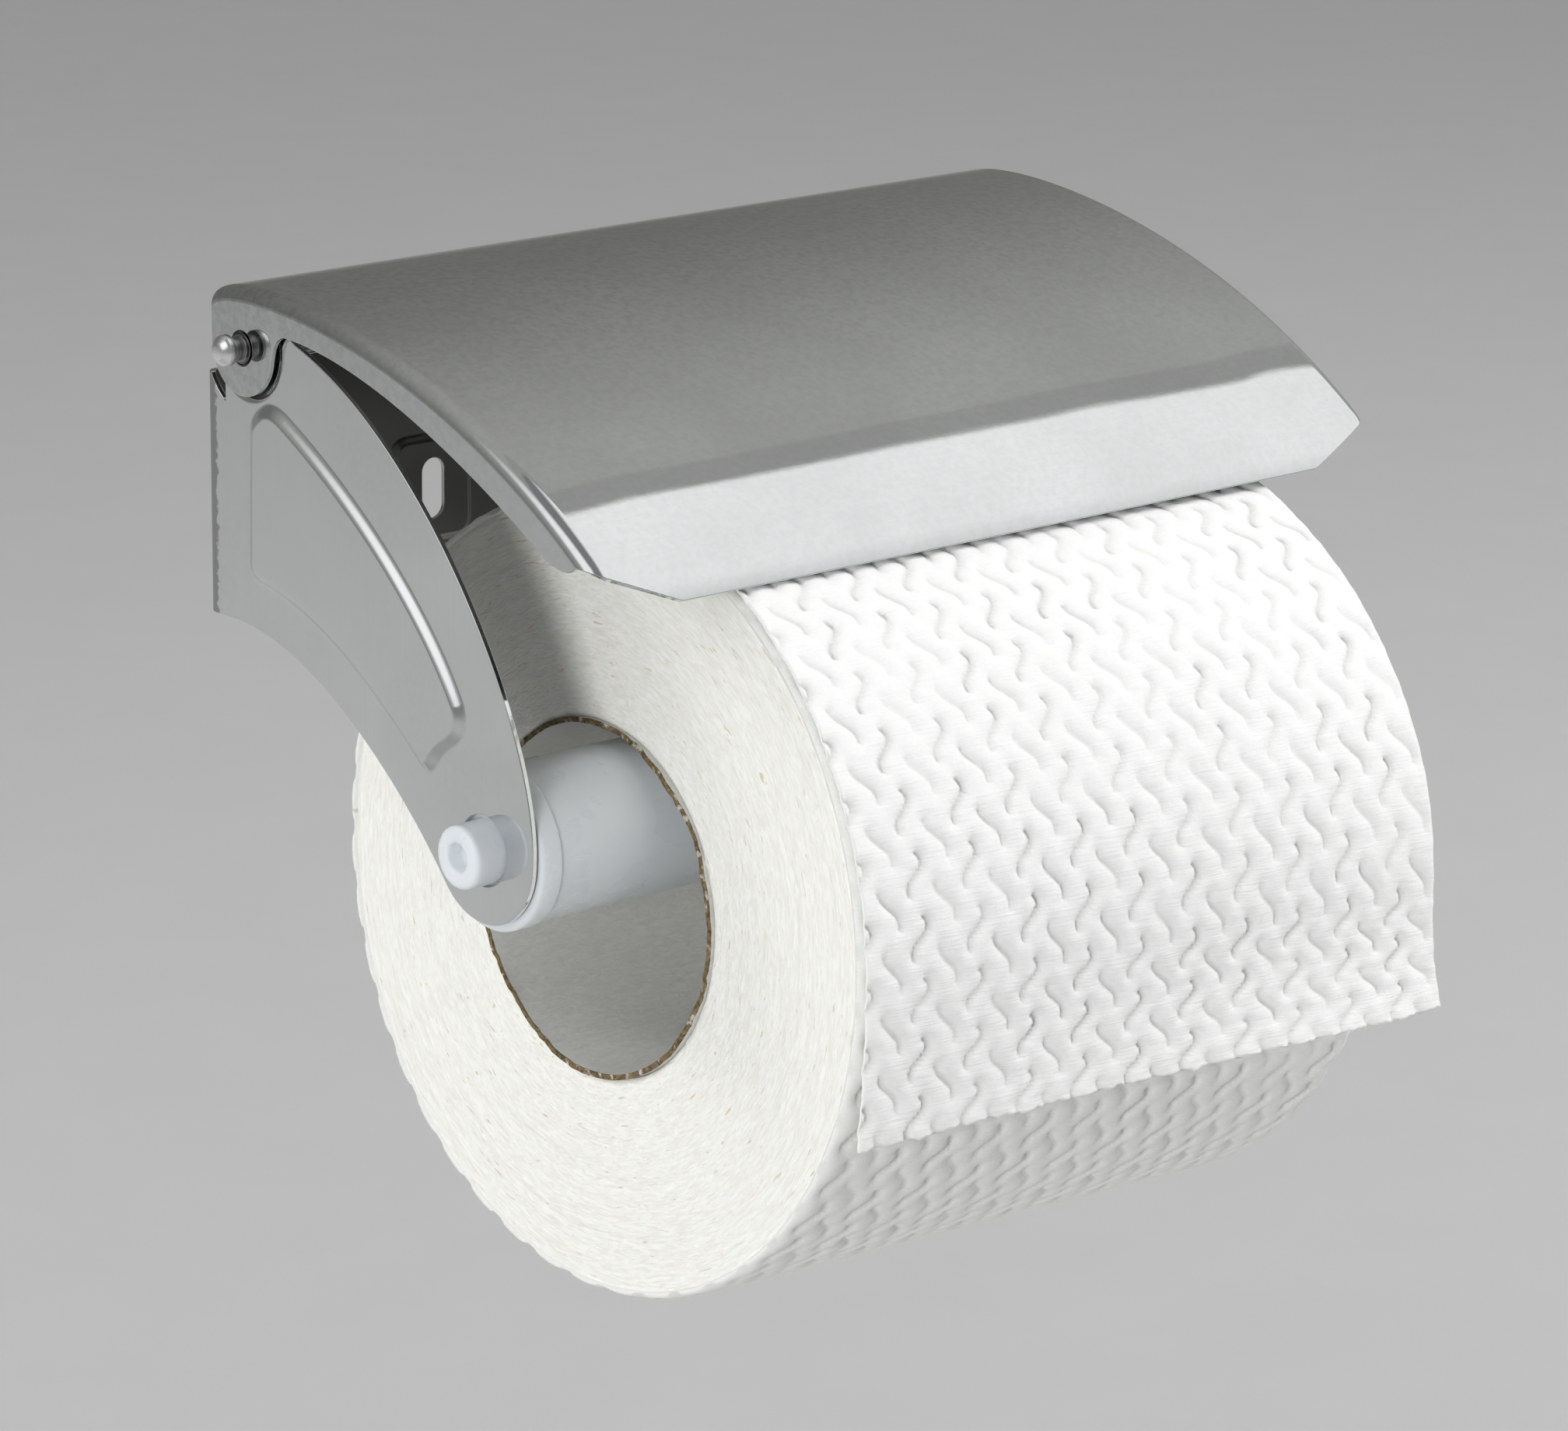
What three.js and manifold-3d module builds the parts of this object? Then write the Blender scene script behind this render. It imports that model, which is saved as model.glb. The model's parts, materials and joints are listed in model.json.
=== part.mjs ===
// Toilet paper holder with a hinged cover, loaded with a roll of paper.
// Millimetres, +Z up. The wall is the plane Y = 0 and the holder stands out towards -Y.
// X runs along the roll. The origin is the middle of the back plate's wall face.
import * as THREE from 'three';
import { mergeVertices } from 'three/addons/utils/BufferGeometryUtils.js';
import Module from 'manifold-3d';

// ---------- driving dimensions ----------
const SHEET = 0.8; // steel sheet
const GAP = 0.3; // running gap round a pin, in a bore or over the paper
const BEND = 1.6; // outer radius where the back plate turns into an arm
const BEYOND = 80; // further out than any part of the holder, for cuts that go right through

const ARM_FACE = 71.4; // outer face of an arm, from the middle of the holder
const PLATE_HALF_HEIGHT = 17.3;
const COVER_FACE = 72.6; // outer face of a cover flange
const FOLD = 2.2; // outer radius where the cover turns down into a flange
const COVER = {
  back: [-3.3, 29.4], // the back edge, as (Y, Z)
  crown: [[-8, 33], [-52.5, 30.6]], // handles of the curve from the back edge to the brow
  brow: [-84.8, 6.3],
  bend: [-86.9, 4.6], // handle of the short curve from the brow to the lip
  lip: [-88.9, 0.1],
  lipSlope: 66, // degrees below the horizontal
  earFront: -166, // where the ear's round edge ends, in degrees round the hinge from its back
  cornerHeight: 5.3, // where the cut-off front corner meets the flange
  cornerWidth: 13.1, // how much of the lip it takes
  cornerFrom: -83.5, // the cut is in front of this
};

const HINGE = { y: -10.2, z: 22.2 };
const HINGE_LUG = 5.5; // radius of the arm's lug round the hinge rod
const HINGE_EAR = 6.8; // radius of the cover's ear round the hinge rod
const RECESS = { radius: 7.8, depth: 0.6 }; // dish pressed into the arm behind the ear
const SWEEP = 10.15; // the cover's back edge turns inside this radius
const ROD = { radius: 2.2, neck: 1.65, half: 76.9, neckFrom: 72.9, neckTo: 74.7 };

const ARM_TIP = { y: -61.7, z: -37.7, radius: 10.6, from: -41 }; // the arm's round end, in degrees
const STUB_HOLE = { y: -61.7, z: -38.0, radius: 4.95 };
const ROLLER = { y: -61.7, z: -38.2 }; // the stubs hang at the bottom of their holes
const STUB = { radius: 4.45, half: 75.9, dimple: 1.95, dimpleDepth: 2.6 };
const WIDE = { radius: 11.3, bore: 9.6, end: -14 }; // the half that holds the other
const NARROW = { radius: 9.3, bore: 8.1, start: -32, collar: 4 };
const ROLLER_HALF = 70.2; // end faces of the roller's body
const END_WALL = 2.4;
const SPRING = { radius: 5.6, wire: 0.45, turns: 14 };

const EMBOSS = { height: 0.9, slope: 1.3, rim: 0.05 }; // pressed panels: height, width of the wall
const ROOT = 0.1; // how far an added shape runs into the sheet that it grows from
const PAD = { x: 32.5, z: -5.3, width: 15, height: 16.4, corner: 3 }; // round each screw slot
const SLOT = { width: 4, height: 9, depth: 6 };

const ROLL = { x: -0.7, y: -59.9, z: -51.3, width: 99, radius: 56.3 };
// The wide half ends short of the roll's middle, so the right-hand end drops onto the narrow half.
const ROLL_LEAN = { down: 1.85, forward: 0.9 }; // degrees, at the right-hand end
const CORE = { inner: 24.4, outer: 25.1 };
const TAIL = {
  thickness: 0.4,
  startAngle: 75, // degrees round the roll, from its back
  looseFrom: 95, // where the right-hand side starts to stand off the roll
  stand: 7.5, // how far it stands off at the roll's front
  hang: { left: 21.2, right: 15.8 }, // below the roll's axis
  sway: { left: -0.8, right: 3 }, // further forward at the bottom edge
};

// ---------- materials ----------
const standard = (color, roughness, metalness) =>
  new THREE.MeshStandardMaterial({ color, roughness, metalness });
const polishedSteel = () => standard('#b9bcbd', 0.16, 1);
const springSteel = () => standard('#7d8083', 0.35, 1);
const whitePlastic = () => standard('#e9eef2', 0.3, 0);
const tissue = () => standard('#f4f4ee', 0.95, 0);
const cardboard = () => standard('#9c8462', 0.9, 0);

// ---------- joining and cutting ----------
const wasm = await Module();
wasm.setup();

function toSolid(geometry) {
  const bare = geometry.clone();
  bare.deleteAttribute('normal');
  bare.deleteAttribute('uv');
  const merged = mergeVertices(bare, 1e-5);
  const vertProperties = new Float32Array(merged.attributes.position.array);
  const triVerts = new Uint32Array(merged.index.array);
  return new wasm.Manifold(new wasm.Mesh({ numProp: 3, vertProperties, triVerts }));
}

function toGeometry(solid) {
  const { vertProperties, triVerts } = solid.getMesh();
  const geometry = new THREE.BufferGeometry();
  geometry.setAttribute('position', new THREE.BufferAttribute(vertProperties, 3));
  geometry.setIndex(new THREE.BufferAttribute(triVerts, 1));
  geometry.computeVertexNormals();
  return geometry;
}

// ---------- shared shapes ----------
const { degToRad, lerp, smoothstep } = THREE.MathUtils;
const axes = (x, y, z) => new THREE.Matrix4().makeBasis(x, y, z);
const X = new THREE.Vector3(1, 0, 0);
const Y = new THREE.Vector3(0, 1, 0);
const Z = new THREE.Vector3(0, 0, 1);
const SIDE_ON = axes(Y, Z, X); // a shape drawn as (Y, Z), with its depth along +X
const FRONT_ON = axes(X, Z, Y.clone().negate()); // drawn as (X, Z), with its depth along -Y

// A shape drawn side on, from x = from to x = to. A bevel rounds both ends inwards.
function sideSolid(shape, from, to, bevel = 0, segments = 3) {
  const depth = to - from - 2 * bevel;
  const options = { depth, curveSegments: 12, bevelEnabled: bevel > 0 };
  options.bevelThickness = bevel;
  options.bevelSize = bevel;
  options.bevelOffset = -bevel;
  options.bevelSegments = segments;
  const geometry = new THREE.ExtrudeGeometry(shape, options);
  geometry.translate(0, 0, from + bevel);
  return toSolid(geometry.applyMatrix4(SIDE_ON));
}

// A raised panel's body and hollow, as shapes with sloping walls, standing on z = 0.
function pressing(shape, height) {
  const { slope, rim } = EMBOSS;
  const walls = (inset, base, top) => {
    const options = { depth: rim, curveSegments: 5, bevelEnabled: true, bevelSegments: 1 };
    options.bevelThickness = top - base - rim;
    options.bevelSize = slope;
    options.bevelOffset = -slope - inset;
    return new THREE.ExtrudeGeometry(shape, options).translate(0, 0, base);
  };
  return { body: walls(0, -ROOT, height), hollow: walls(SHEET * 0.6, -SHEET, height - SHEET) };
}

// Adds the same raised panel to both halves of a sheet.
function press(solid, { body, hollow }, place) {
  const raised = solid.add(both(toSolid(place(body))));
  return raised.subtract(both(toSolid(place(hollow))));
}

function turned(profile, segments) {
  const points = profile.map(([x, radius]) => new THREE.Vector2(radius, x));
  return new THREE.LatheGeometry(points, segments).rotateZ(-Math.PI / 2);
}

function circle(y, z, radius) {
  return new THREE.Shape().absarc(y, z, radius, 0, 2 * Math.PI, false);
}

function polygon(points) {
  return new THREE.Shape(points.map(([x, y]) => new THREE.Vector2(x, y)));
}

const mirrorX = (solid) => solid.mirror([1, 0, 0]);
const both = (solid) => solid.add(mirrorX(solid));

// ---------- bracket: back plate and two arms, one pressed sheet ----------
function armOutline() {
  const shape = new THREE.Shape();
  const lug = HINGE.z + HINGE_LUG;
  const shoulder = Math.asin((HINGE.z - PLATE_HALF_HEIGHT) / SWEEP);
  shape.moveTo(1, -PLATE_HALF_HEIGHT);
  shape.lineTo(-6, -PLATE_HALF_HEIGHT);
  shape.bezierCurveTo(-24, -PLATE_HALF_HEIGHT, -43.5, -32.5, -53.75, -44.7);
  shape.absarc(ARM_TIP.y, ARM_TIP.z, ARM_TIP.radius, degToRad(ARM_TIP.from), -Math.PI, true);
  shape.bezierCurveTo(-73.5, -20, -50, 15, -21, 24.2);
  shape.quadraticCurveTo(-14.5, lug, HINGE.y, lug);
  shape.absarc(HINGE.y, HINGE.z, HINGE_LUG, Math.PI / 2, 0, true);
  shape.absarc(HINGE.y, HINGE.z, SWEEP, -Math.acos(HINGE_LUG / SWEEP), -shoulder, false);
  shape.lineTo(1, PLATE_HALF_HEIGHT);
  return shape;
}

function armPanelOutline() {
  const shape = new THREE.Shape();
  shape.moveTo(-10.2, 10.3);
  shape.lineTo(-9.8, -8);
  shape.quadraticCurveTo(-9.8, -11.1, -13, -11.5);
  shape.bezierCurveTo(-25, -13.2, -36, -19.5, -48.2, -29.4);
  shape.quadraticCurveTo(-50.4, -31, -52, -28.6);
  shape.quadraticCurveTo(-53.2, -26.6, -55.4, -25.4);
  shape.quadraticCurveTo(-59.6, -22.6, -57.9, -18.6);
  shape.bezierCurveTo(-52, -8.5, -38, 4.5, -19, 14.2);
  shape.quadraticCurveTo(-15.5, 15.9, -13.2, 14.4);
  shape.quadraticCurveTo(-10.3, 12.6, -10.2, 10.3);
  return shape;
}

function roundedRectangle(width, height, corner) {
  const shape = new THREE.Shape();
  const x = width / 2 - corner;
  const y = height / 2 - corner;
  shape.absarc(x, y, corner, 0, Math.PI / 2, false);
  shape.absarc(-x, y, corner, Math.PI / 2, Math.PI, false);
  shape.absarc(-x, -y, corner, Math.PI, 1.5 * Math.PI, false);
  shape.absarc(x, -y, corner, 1.5 * Math.PI, 2 * Math.PI, false);
  return shape;
}

// The sheet seen from above: a back plate with an arm turned forward at each end.
function foldedStrip() {
  const shape = new THREE.Shape();
  const inner = BEND - SHEET;
  const centre = ARM_FACE - BEND;
  shape.moveTo(-ARM_FACE, -BEYOND);
  shape.lineTo(-ARM_FACE + SHEET, -BEYOND);
  shape.absarc(-centre, -BEND, inner, Math.PI, Math.PI / 2, true);
  shape.absarc(centre, -BEND, inner, Math.PI / 2, 0, true);
  shape.lineTo(ARM_FACE - SHEET, -BEYOND);
  shape.lineTo(ARM_FACE, -BEYOND);
  shape.absarc(centre, -BEND, BEND, 0, Math.PI / 2, false);
  shape.absarc(-centre, -BEND, BEND, Math.PI / 2, Math.PI, false);
  const options = { depth: 2 * BEYOND, bevelEnabled: false, curveSegments: 5 };
  return toSolid(new THREE.ExtrudeGeometry(shape, options).translate(0, 0, -BEYOND));
}

// The dish behind an ear: its floor is the sheet pushed inwards, clear of the back plate's bend.
function addDish(solid) {
  const { radius, depth } = RECESS;
  const inside = ARM_FACE - SHEET;
  const side = polygon([[-BEND, -BEYOND], [-BEND, BEYOND], [-BEYOND, BEYOND], [-BEYOND, -BEYOND]]);
  const backing = circle(HINGE.y, HINGE.z, radius + SHEET);
  const floor = sideSolid(backing, inside - depth, inside + ROOT)
    .intersect(sideSolid(armOutline(), 1, BEYOND))
    .intersect(sideSolid(side, 1, BEYOND));
  const hollow = sideSolid(circle(HINGE.y, HINGE.z, radius), ARM_FACE - depth, ARM_FACE + 1);
  return solid.add(both(floor)).subtract(both(hollow));
}

function bracket() {
  let solid = addDish(foldedStrip().intersect(sideSolid(armOutline(), -BEYOND, BEYOND)));

  const onArm = (geometry) => geometry.applyMatrix4(SIDE_ON).translate(ARM_FACE, 0, 0);
  solid = press(solid, pressing(armPanelOutline(), EMBOSS.height), onArm);

  const padOutline = roundedRectangle(PAD.width, PAD.height, PAD.corner);
  const onPlate = (geometry) => geometry.applyMatrix4(FRONT_ON).translate(PAD.x, -SHEET, PAD.z);
  solid = press(solid, pressing(padOutline, SHEET), onPlate);

  const slotOutline = roundedRectangle(SLOT.width, SLOT.height, SLOT.width / 2 - 0.01);
  const slotOptions = { depth: SLOT.depth, bevelEnabled: false, curveSegments: 6 };
  const slot = new THREE.ExtrudeGeometry(slotOutline, slotOptions).applyMatrix4(FRONT_ON);
  solid = solid.subtract(both(toSolid(slot.translate(PAD.x, SLOT.depth / 3, PAD.z))));

  const rodHole = circle(HINGE.y, HINGE.z, ROD.radius + GAP);
  const stubHole = circle(STUB_HOLE.y, STUB_HOLE.z, STUB_HOLE.radius);
  return solid
    .subtract(sideSolid(rodHole, -BEYOND, BEYOND))
    .subtract(sideSolid(stubHole, -BEYOND, BEYOND));
}

// ---------- cover: curved top with a flange at each side, one pressed sheet ----------
// Everything below the cover's top surface. It runs on past the back edge and the lip.
function underCover() {
  const shape = new THREE.Shape();
  const runOn = 12;
  const below = -40;
  const [backY, backZ] = COVER.back;
  const [crownY, crownZ] = COVER.crown[0];
  const backSlope = (crownZ - backZ) / (backY - crownY);
  const lipSlope = degToRad(COVER.lipSlope);
  const frontY = COVER.lip[0] - runOn * Math.cos(lipSlope);
  shape.moveTo(backY + runOn, below);
  shape.lineTo(backY + runOn, backZ - runOn * backSlope);
  shape.lineTo(backY, backZ);
  shape.bezierCurveTo(...COVER.crown[0], ...COVER.crown[1], ...COVER.brow);
  shape.quadraticCurveTo(...COVER.bend, ...COVER.lip);
  shape.lineTo(frontY, COVER.lip[1] - runOn * Math.sin(lipSlope));
  shape.lineTo(frontY, below);
  return shape;
}

// The cover seen from the side: what is left of the flanges once they are trimmed.
function coverSide() {
  const shape = new THREE.Shape();
  const above = 45;
  const slope = degToRad(COVER.lipSlope);
  const [y, z] = COVER.lip;
  const acrossLip = (distance) => [y + distance * Math.sin(slope), z - distance * Math.cos(slope)];
  shape.moveTo(COVER.back[0], above);
  shape.lineTo(HINGE.y + HINGE_EAR, HINGE.z);
  shape.absarc(HINGE.y, HINGE.z, HINGE_EAR, 0, degToRad(COVER.earFront), true);
  shape.quadraticCurveTo(-17.4, 25.3, -20.5, 25.2);
  shape.bezierCurveTo(-38, 24.5, -60, 15, -76.5, 5.2);
  shape.quadraticCurveTo(-79.5, 3.4, -84, 4.2);
  shape.lineTo(...acrossLip(1.7));
  shape.lineTo(...acrossLip(-2));
  shape.lineTo(-BEYOND - 15, above);
  return shape;
}

// What is cut off a front corner, below a line that rises from the lip to the flange.
function cornerCut() {
  const start = COVER_FACE - COVER.cornerWidth;
  const lip = COVER.lip[1];
  const rise = (COVER.cornerHeight - lip) / COVER.cornerWidth;
  const from = start - 4;
  const to = start + 20;
  const below = -20;
  const lineAt = (x) => lip + rise * (x - start);
  const shape = polygon([[from, lineAt(from)], [to, lineAt(to)], [to, below], [from, below]]);
  const cut = new THREE.ExtrudeGeometry(shape, { depth: 20, bevelEnabled: false });
  return cut.applyMatrix4(FRONT_ON).translate(0, COVER.cornerFrom, 0);
}

function cover() {
  const outer = sideSolid(underCover(), -COVER_FACE, COVER_FACE, FOLD);
  const inner = sideSolid(underCover(), -COVER_FACE + SHEET, COVER_FACE - SHEET, FOLD - SHEET);
  const hole = circle(HINGE.y, HINGE.z, ROD.radius + GAP);
  return outer
    .subtract(inner.intersect(sheetInset()))
    .intersect(sideSolid(coverSide(), -BEYOND, BEYOND))
    .subtract(both(toSolid(cornerCut())))
    .subtract(sideSolid(hole, -BEYOND, BEYOND));
}

// The space below the sheet: the top surface moved down square to itself by the sheet.
function sheetInset() {
  const outline = underCover().getPoints(14);
  const shape = new THREE.Shape(insetCurve(outline, SHEET));
  return sideSolid(shape, -BEYOND, BEYOND);
}

function insetCurve(points, distance) {
  const count = points.length;
  return points.map((point, i) => {
    const before = points[(i + count - 1) % count];
    const after = points[(i + 1) % count];
    const inDirection = point.clone().sub(before).normalize();
    const outDirection = after.clone().sub(point).normalize();
    const along = inDirection.clone().add(outDirection).normalize();
    const stretch = distance / Math.max(0.3, along.dot(outDirection));
    return new THREE.Vector2(point.x - along.y * stretch, point.y + along.x * stretch);
  });
}

// ---------- hinge rod ----------
function hingeRod() {
  const { radius, neck, half, neckFrom, neckTo } = ROD;
  const end = [
    [half, 0],
    [half - 0.15, 0.9],
    [half - 0.6, 1.7],
    [half - 1.2, radius],
    [neckTo + 0.1, radius],
    [neckTo, radius - 0.1],
    [neckTo, neck],
    [neckFrom, neck],
    [neckFrom, radius],
  ];
  const mirrored = end.map(([x, r]) => [-x, r]);
  return turned([...mirrored, ...end.reverse()], 20);
}

// ---------- sprung roller ----------
function stubEnd() {
  const { radius, half, dimple, dimpleDepth } = STUB;
  return [
    [half - dimpleDepth, 0],
    [half - dimpleDepth, dimple],
    [half, dimple],
    [half, radius - 0.5],
    [half - 0.5, radius],
    [ROLLER_HALF, radius],
    [ROLLER_HALF, WIDE.radius - 0.6],
    [ROLLER_HALF - 0.6, WIDE.radius],
  ];
}

function wideHalf() {
  const stub = stubEnd().map(([x, r]) => [-x, r]);
  const tube = [
    [WIDE.end, WIDE.radius],
    [WIDE.end, WIDE.bore],
    [-ROLLER_HALF + END_WALL, WIDE.bore],
    [-ROLLER_HALF + END_WALL, 0],
  ];
  return turned([...stub, ...tube], 40);
}

function narrowHalf() {
  const tube = [
    [ROLLER_HALF - END_WALL, 0],
    [ROLLER_HALF - END_WALL, NARROW.bore],
    [NARROW.start, NARROW.bore],
    [NARROW.start, NARROW.radius],
    [ROLLER_HALF - NARROW.collar, NARROW.radius],
    [ROLLER_HALF - NARROW.collar, WIDE.radius],
  ];
  return turned([...tube, ...stubEnd().reverse()], 40);
}

class Helix extends THREE.Curve {
  constructor(radius, length, turns) {
    super();
    Object.assign(this, { radius, length, turns });
  }

  getPoint(t, target = new THREE.Vector3()) {
    const angle = 2 * Math.PI * this.turns * t;
    const x = (t - 0.5) * this.length;
    return target.set(x, this.radius * Math.cos(angle), this.radius * Math.sin(angle));
  }
}

function rollerSpring() {
  const length = 2 * (ROLLER_HALF - END_WALL - GAP - SPRING.wire);
  const extrudePath = new Helix(SPRING.radius, length, SPRING.turns);
  const wire = new THREE.Shape().absarc(0, 0, SPRING.wire, 0, 2 * Math.PI, false);
  const steps = SPRING.turns * 10;
  const options = { extrudePath, steps, curveSegments: 3, bevelEnabled: false };
  return new THREE.ExtrudeGeometry(wire, options);
}

// ---------- paper ----------
function ring(inner, outer, width, segments) {
  const half = width / 2;
  const profile = [[-half, inner], [-half, outer], [half, outer], [half, inner], [-half, inner]];
  return turned(profile, segments);
}

// The loose end, in the roll's own frame: over the top, down the front, then hanging free.
// Its left side lies on the roll and its right side stands away from it.
function paperTail() {
  const radius = ROLL.radius + GAP;
  const start = degToRad(TAIL.startAngle);
  const wrapped = radius * (Math.PI - start);
  const longest = Math.max(TAIL.hang.left, TAIL.hang.right);
  const length = wrapped + longest;
  const geometry = new THREE.BoxGeometry(ROLL.width, length, TAIL.thickness, 6, 32, 1);
  const position = geometry.attributes.position;
  for (let i = 0; i < position.count; i++) {
    const across = position.getX(i) / ROLL.width + 0.5;
    const along = length / 2 - position.getY(i);
    const height = position.getZ(i) + TAIL.thickness / 2;
    const free = Math.max(0, along - wrapped) / longest;
    const angle = Math.min(Math.PI, start + along / radius);
    const loose = smoothstep(angle, degToRad(TAIL.looseFrom), Math.PI);
    const reach = radius + height + TAIL.stand * across * loose;
    const sway = lerp(TAIL.sway.left, TAIL.sway.right, across) * free * free;
    const hang = lerp(TAIL.hang.left, TAIL.hang.right, across) * free;
    position.setXYZ(i, position.getX(i), reach * Math.cos(angle) - sway, reach * Math.sin(angle) - hang);
  }
  return geometry;
}

// ---------- the assembly ----------
function part(name, geometry, material) {
  const mesh = new THREE.Mesh(geometry, material);
  mesh.name = name;
  return mesh;
}

const holder = new THREE.Group();
holder.add(part('bracket', toGeometry(bracket()), polishedSteel()));
holder.add(part('cover', toGeometry(cover()), polishedSteel()));

const rod = part('hinge_rod', hingeRod(), polishedSteel());
rod.position.set(0, HINGE.y, HINGE.z);
holder.add(rod);

const roller = new THREE.Group();
roller.position.set(0, ROLLER.y, ROLLER.z);
roller.add(part('roller_wide_half', wideHalf(), whitePlastic()));
roller.add(part('roller_narrow_half', narrowHalf(), whitePlastic()));
roller.add(part('roller_spring', rollerSpring(), springSteel()));
holder.add(roller);

const roll = new THREE.Group();
roll.position.set(ROLL.x, ROLL.y, ROLL.z);
roll.rotation.set(0, degToRad(ROLL_LEAN.down), degToRad(-ROLL_LEAN.forward), 'ZYX');
roll.add(part('paper_core', ring(CORE.inner, CORE.outer, ROLL.width, 64), cardboard()));
roll.add(part('paper_roll', ring(CORE.outer + GAP, ROLL.radius, ROLL.width, 96), tissue()));
roll.add(part('paper_tail', paperTail(), tissue()));
holder.add(roll);

export default holder;
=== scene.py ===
"""The looks of a wall-mounted toilet paper holder: pressed steel, plastic roller, embossed paper.

Lengths are in millimetres in the row frame (wall at Y = 0, +Z up) until a mesh is made.
"""
import json
import math

import bmesh
import bpy
import numpy as np
from mathutils import Matrix, Vector
from mathutils.geometry import delaunay_2d_cdt


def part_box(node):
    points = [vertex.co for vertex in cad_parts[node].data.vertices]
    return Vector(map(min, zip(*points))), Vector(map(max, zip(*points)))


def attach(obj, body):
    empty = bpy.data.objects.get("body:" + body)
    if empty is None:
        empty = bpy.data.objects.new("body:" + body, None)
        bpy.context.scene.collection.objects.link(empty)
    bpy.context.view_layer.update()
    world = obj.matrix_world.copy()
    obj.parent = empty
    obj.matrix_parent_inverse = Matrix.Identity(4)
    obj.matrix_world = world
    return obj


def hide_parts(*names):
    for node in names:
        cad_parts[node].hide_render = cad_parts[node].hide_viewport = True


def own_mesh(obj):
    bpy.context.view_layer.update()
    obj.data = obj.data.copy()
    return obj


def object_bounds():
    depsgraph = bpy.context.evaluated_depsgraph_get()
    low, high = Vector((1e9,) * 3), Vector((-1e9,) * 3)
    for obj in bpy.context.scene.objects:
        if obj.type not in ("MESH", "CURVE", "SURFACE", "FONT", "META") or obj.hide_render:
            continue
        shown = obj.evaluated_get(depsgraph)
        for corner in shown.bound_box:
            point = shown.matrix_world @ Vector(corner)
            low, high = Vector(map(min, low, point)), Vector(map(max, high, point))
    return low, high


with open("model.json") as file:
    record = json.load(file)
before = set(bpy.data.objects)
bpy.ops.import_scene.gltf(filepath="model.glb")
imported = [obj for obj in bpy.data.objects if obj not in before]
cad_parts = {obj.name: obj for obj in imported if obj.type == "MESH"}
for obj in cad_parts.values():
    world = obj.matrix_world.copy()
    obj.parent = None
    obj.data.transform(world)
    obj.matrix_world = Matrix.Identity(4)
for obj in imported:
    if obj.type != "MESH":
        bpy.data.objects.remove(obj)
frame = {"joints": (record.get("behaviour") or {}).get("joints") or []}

MM = 0.001
CAD_BOUNDS = [list(corner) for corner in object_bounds()]
JOINTS = {joint["name"]: joint for joint in frame["joints"]}


# ---------- sizes: from the frame, and the pressed shapes' own dimensions ----------
def box(node):
    low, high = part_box(node)
    return np.array(low) / MM, np.array(high) / MM


def pivot(joint):
    return np.array(JOINTS[joint]["pos_m"]) / MM


SHEET = 0.8
EDGE = 0.14  # rounding along a sheet's cut edges
BEND = 1.6  # outer radius between the back plate and an arm
HINGE = pivot("cover_hinge")[1:]
PANEL_HEIGHT = 0.9
ARM_FACE = box("bracket")[1][0] - PANEL_HEIGHT
PLATE_HALF_HEIGHT = 17.3
LUG = 5.5
SWEEP = 10.15
ROD_HOLE = 2.5
STUB_HOLE = {"at": (-61.7, -38.0), "radius": 4.95}
ARM_TIP = {"at": (-61.7, -37.7), "radius": 10.6}
DISH = {"radius": 7.9, "depth": 0.6, "wall": 1.5}
PAD = {"x": 32.5, "z": -5.3, "width": 15, "height": 16.4, "corner": 3, "rise": 0.8, "wall": 1.3}
SLOT = {"width": 4, "height": 9}
PANEL_WALL = 2.1

COVER_FACE = box("cover")[1][0]
FOLD = 2.2
LIP = (box("cover")[0][1], 0.1)
COVER_BACK = (-3.3, 29.4)
BROW = (-84.8, 6.3)
EAR = 6.8
CORNER = {"width": 13.1, "height": 5.3}

ROD = box("hinge_rod")
ROLLER = pivot("roller_spin")
ROLL = pivot("roll_spin")
ROLL_RADIUS = 56.3
ROLL_HALF_WIDTH = 49.5
CORE = {"inner": 24.4, "outer": 25.1}

X_LOCAL = np.array(JOINTS["roll_spin"]["axis"])
Y_LOCAL = np.cross((0, 0, 1), X_LOCAL)
Y_LOCAL /= np.linalg.norm(Y_LOCAL)
ROLL_FRAME = np.array((X_LOCAL, Y_LOCAL, np.cross(X_LOCAL, Y_LOCAL)))


# ---------- lines ----------
def bezier(points, steps):
    """Points along a Bezier curve, without its first point."""
    t = np.linspace(0, 1, steps + 1)[1:, None]
    n = len(points) - 1
    terms = [math.comb(n, k) * t**k * (1 - t) ** (n - k) * np.array(p) for k, p in enumerate(points)]
    return sum(terms)


def unit(vectors):
    return vectors / np.linalg.norm(vectors, axis=1)[:, None]


def full_turn(count):
    return np.linspace(0, 2 * math.pi, count, endpoint=False)


def around_x(x, r, t):
    """Points at radius r and angle t about the X axis."""
    return np.stack(np.broadcast_arrays(x, r * np.cos(t), r * np.sin(t)), -1)


def arc(centre, radius, start, end, steps=24):
    """Points along an arc, angles in degrees."""
    t = np.radians(np.linspace(start, end, steps + 1))
    return np.column_stack((centre[0] + radius * np.cos(t), centre[1] + radius * np.sin(t)))


def closed_line(points, step):
    """The closed line through these points, with none further apart than step."""
    points = np.vstack([points, points[:1]])
    made = []
    for a, b in zip(points[:-1], points[1:]):
        length = np.linalg.norm(b - a)
        if length < 0.2 * step:
            continue
        count = max(1, math.ceil(length / step))
        made += [a + (b - a) * k / count for k in range(count)]
    return np.array(made)


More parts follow.
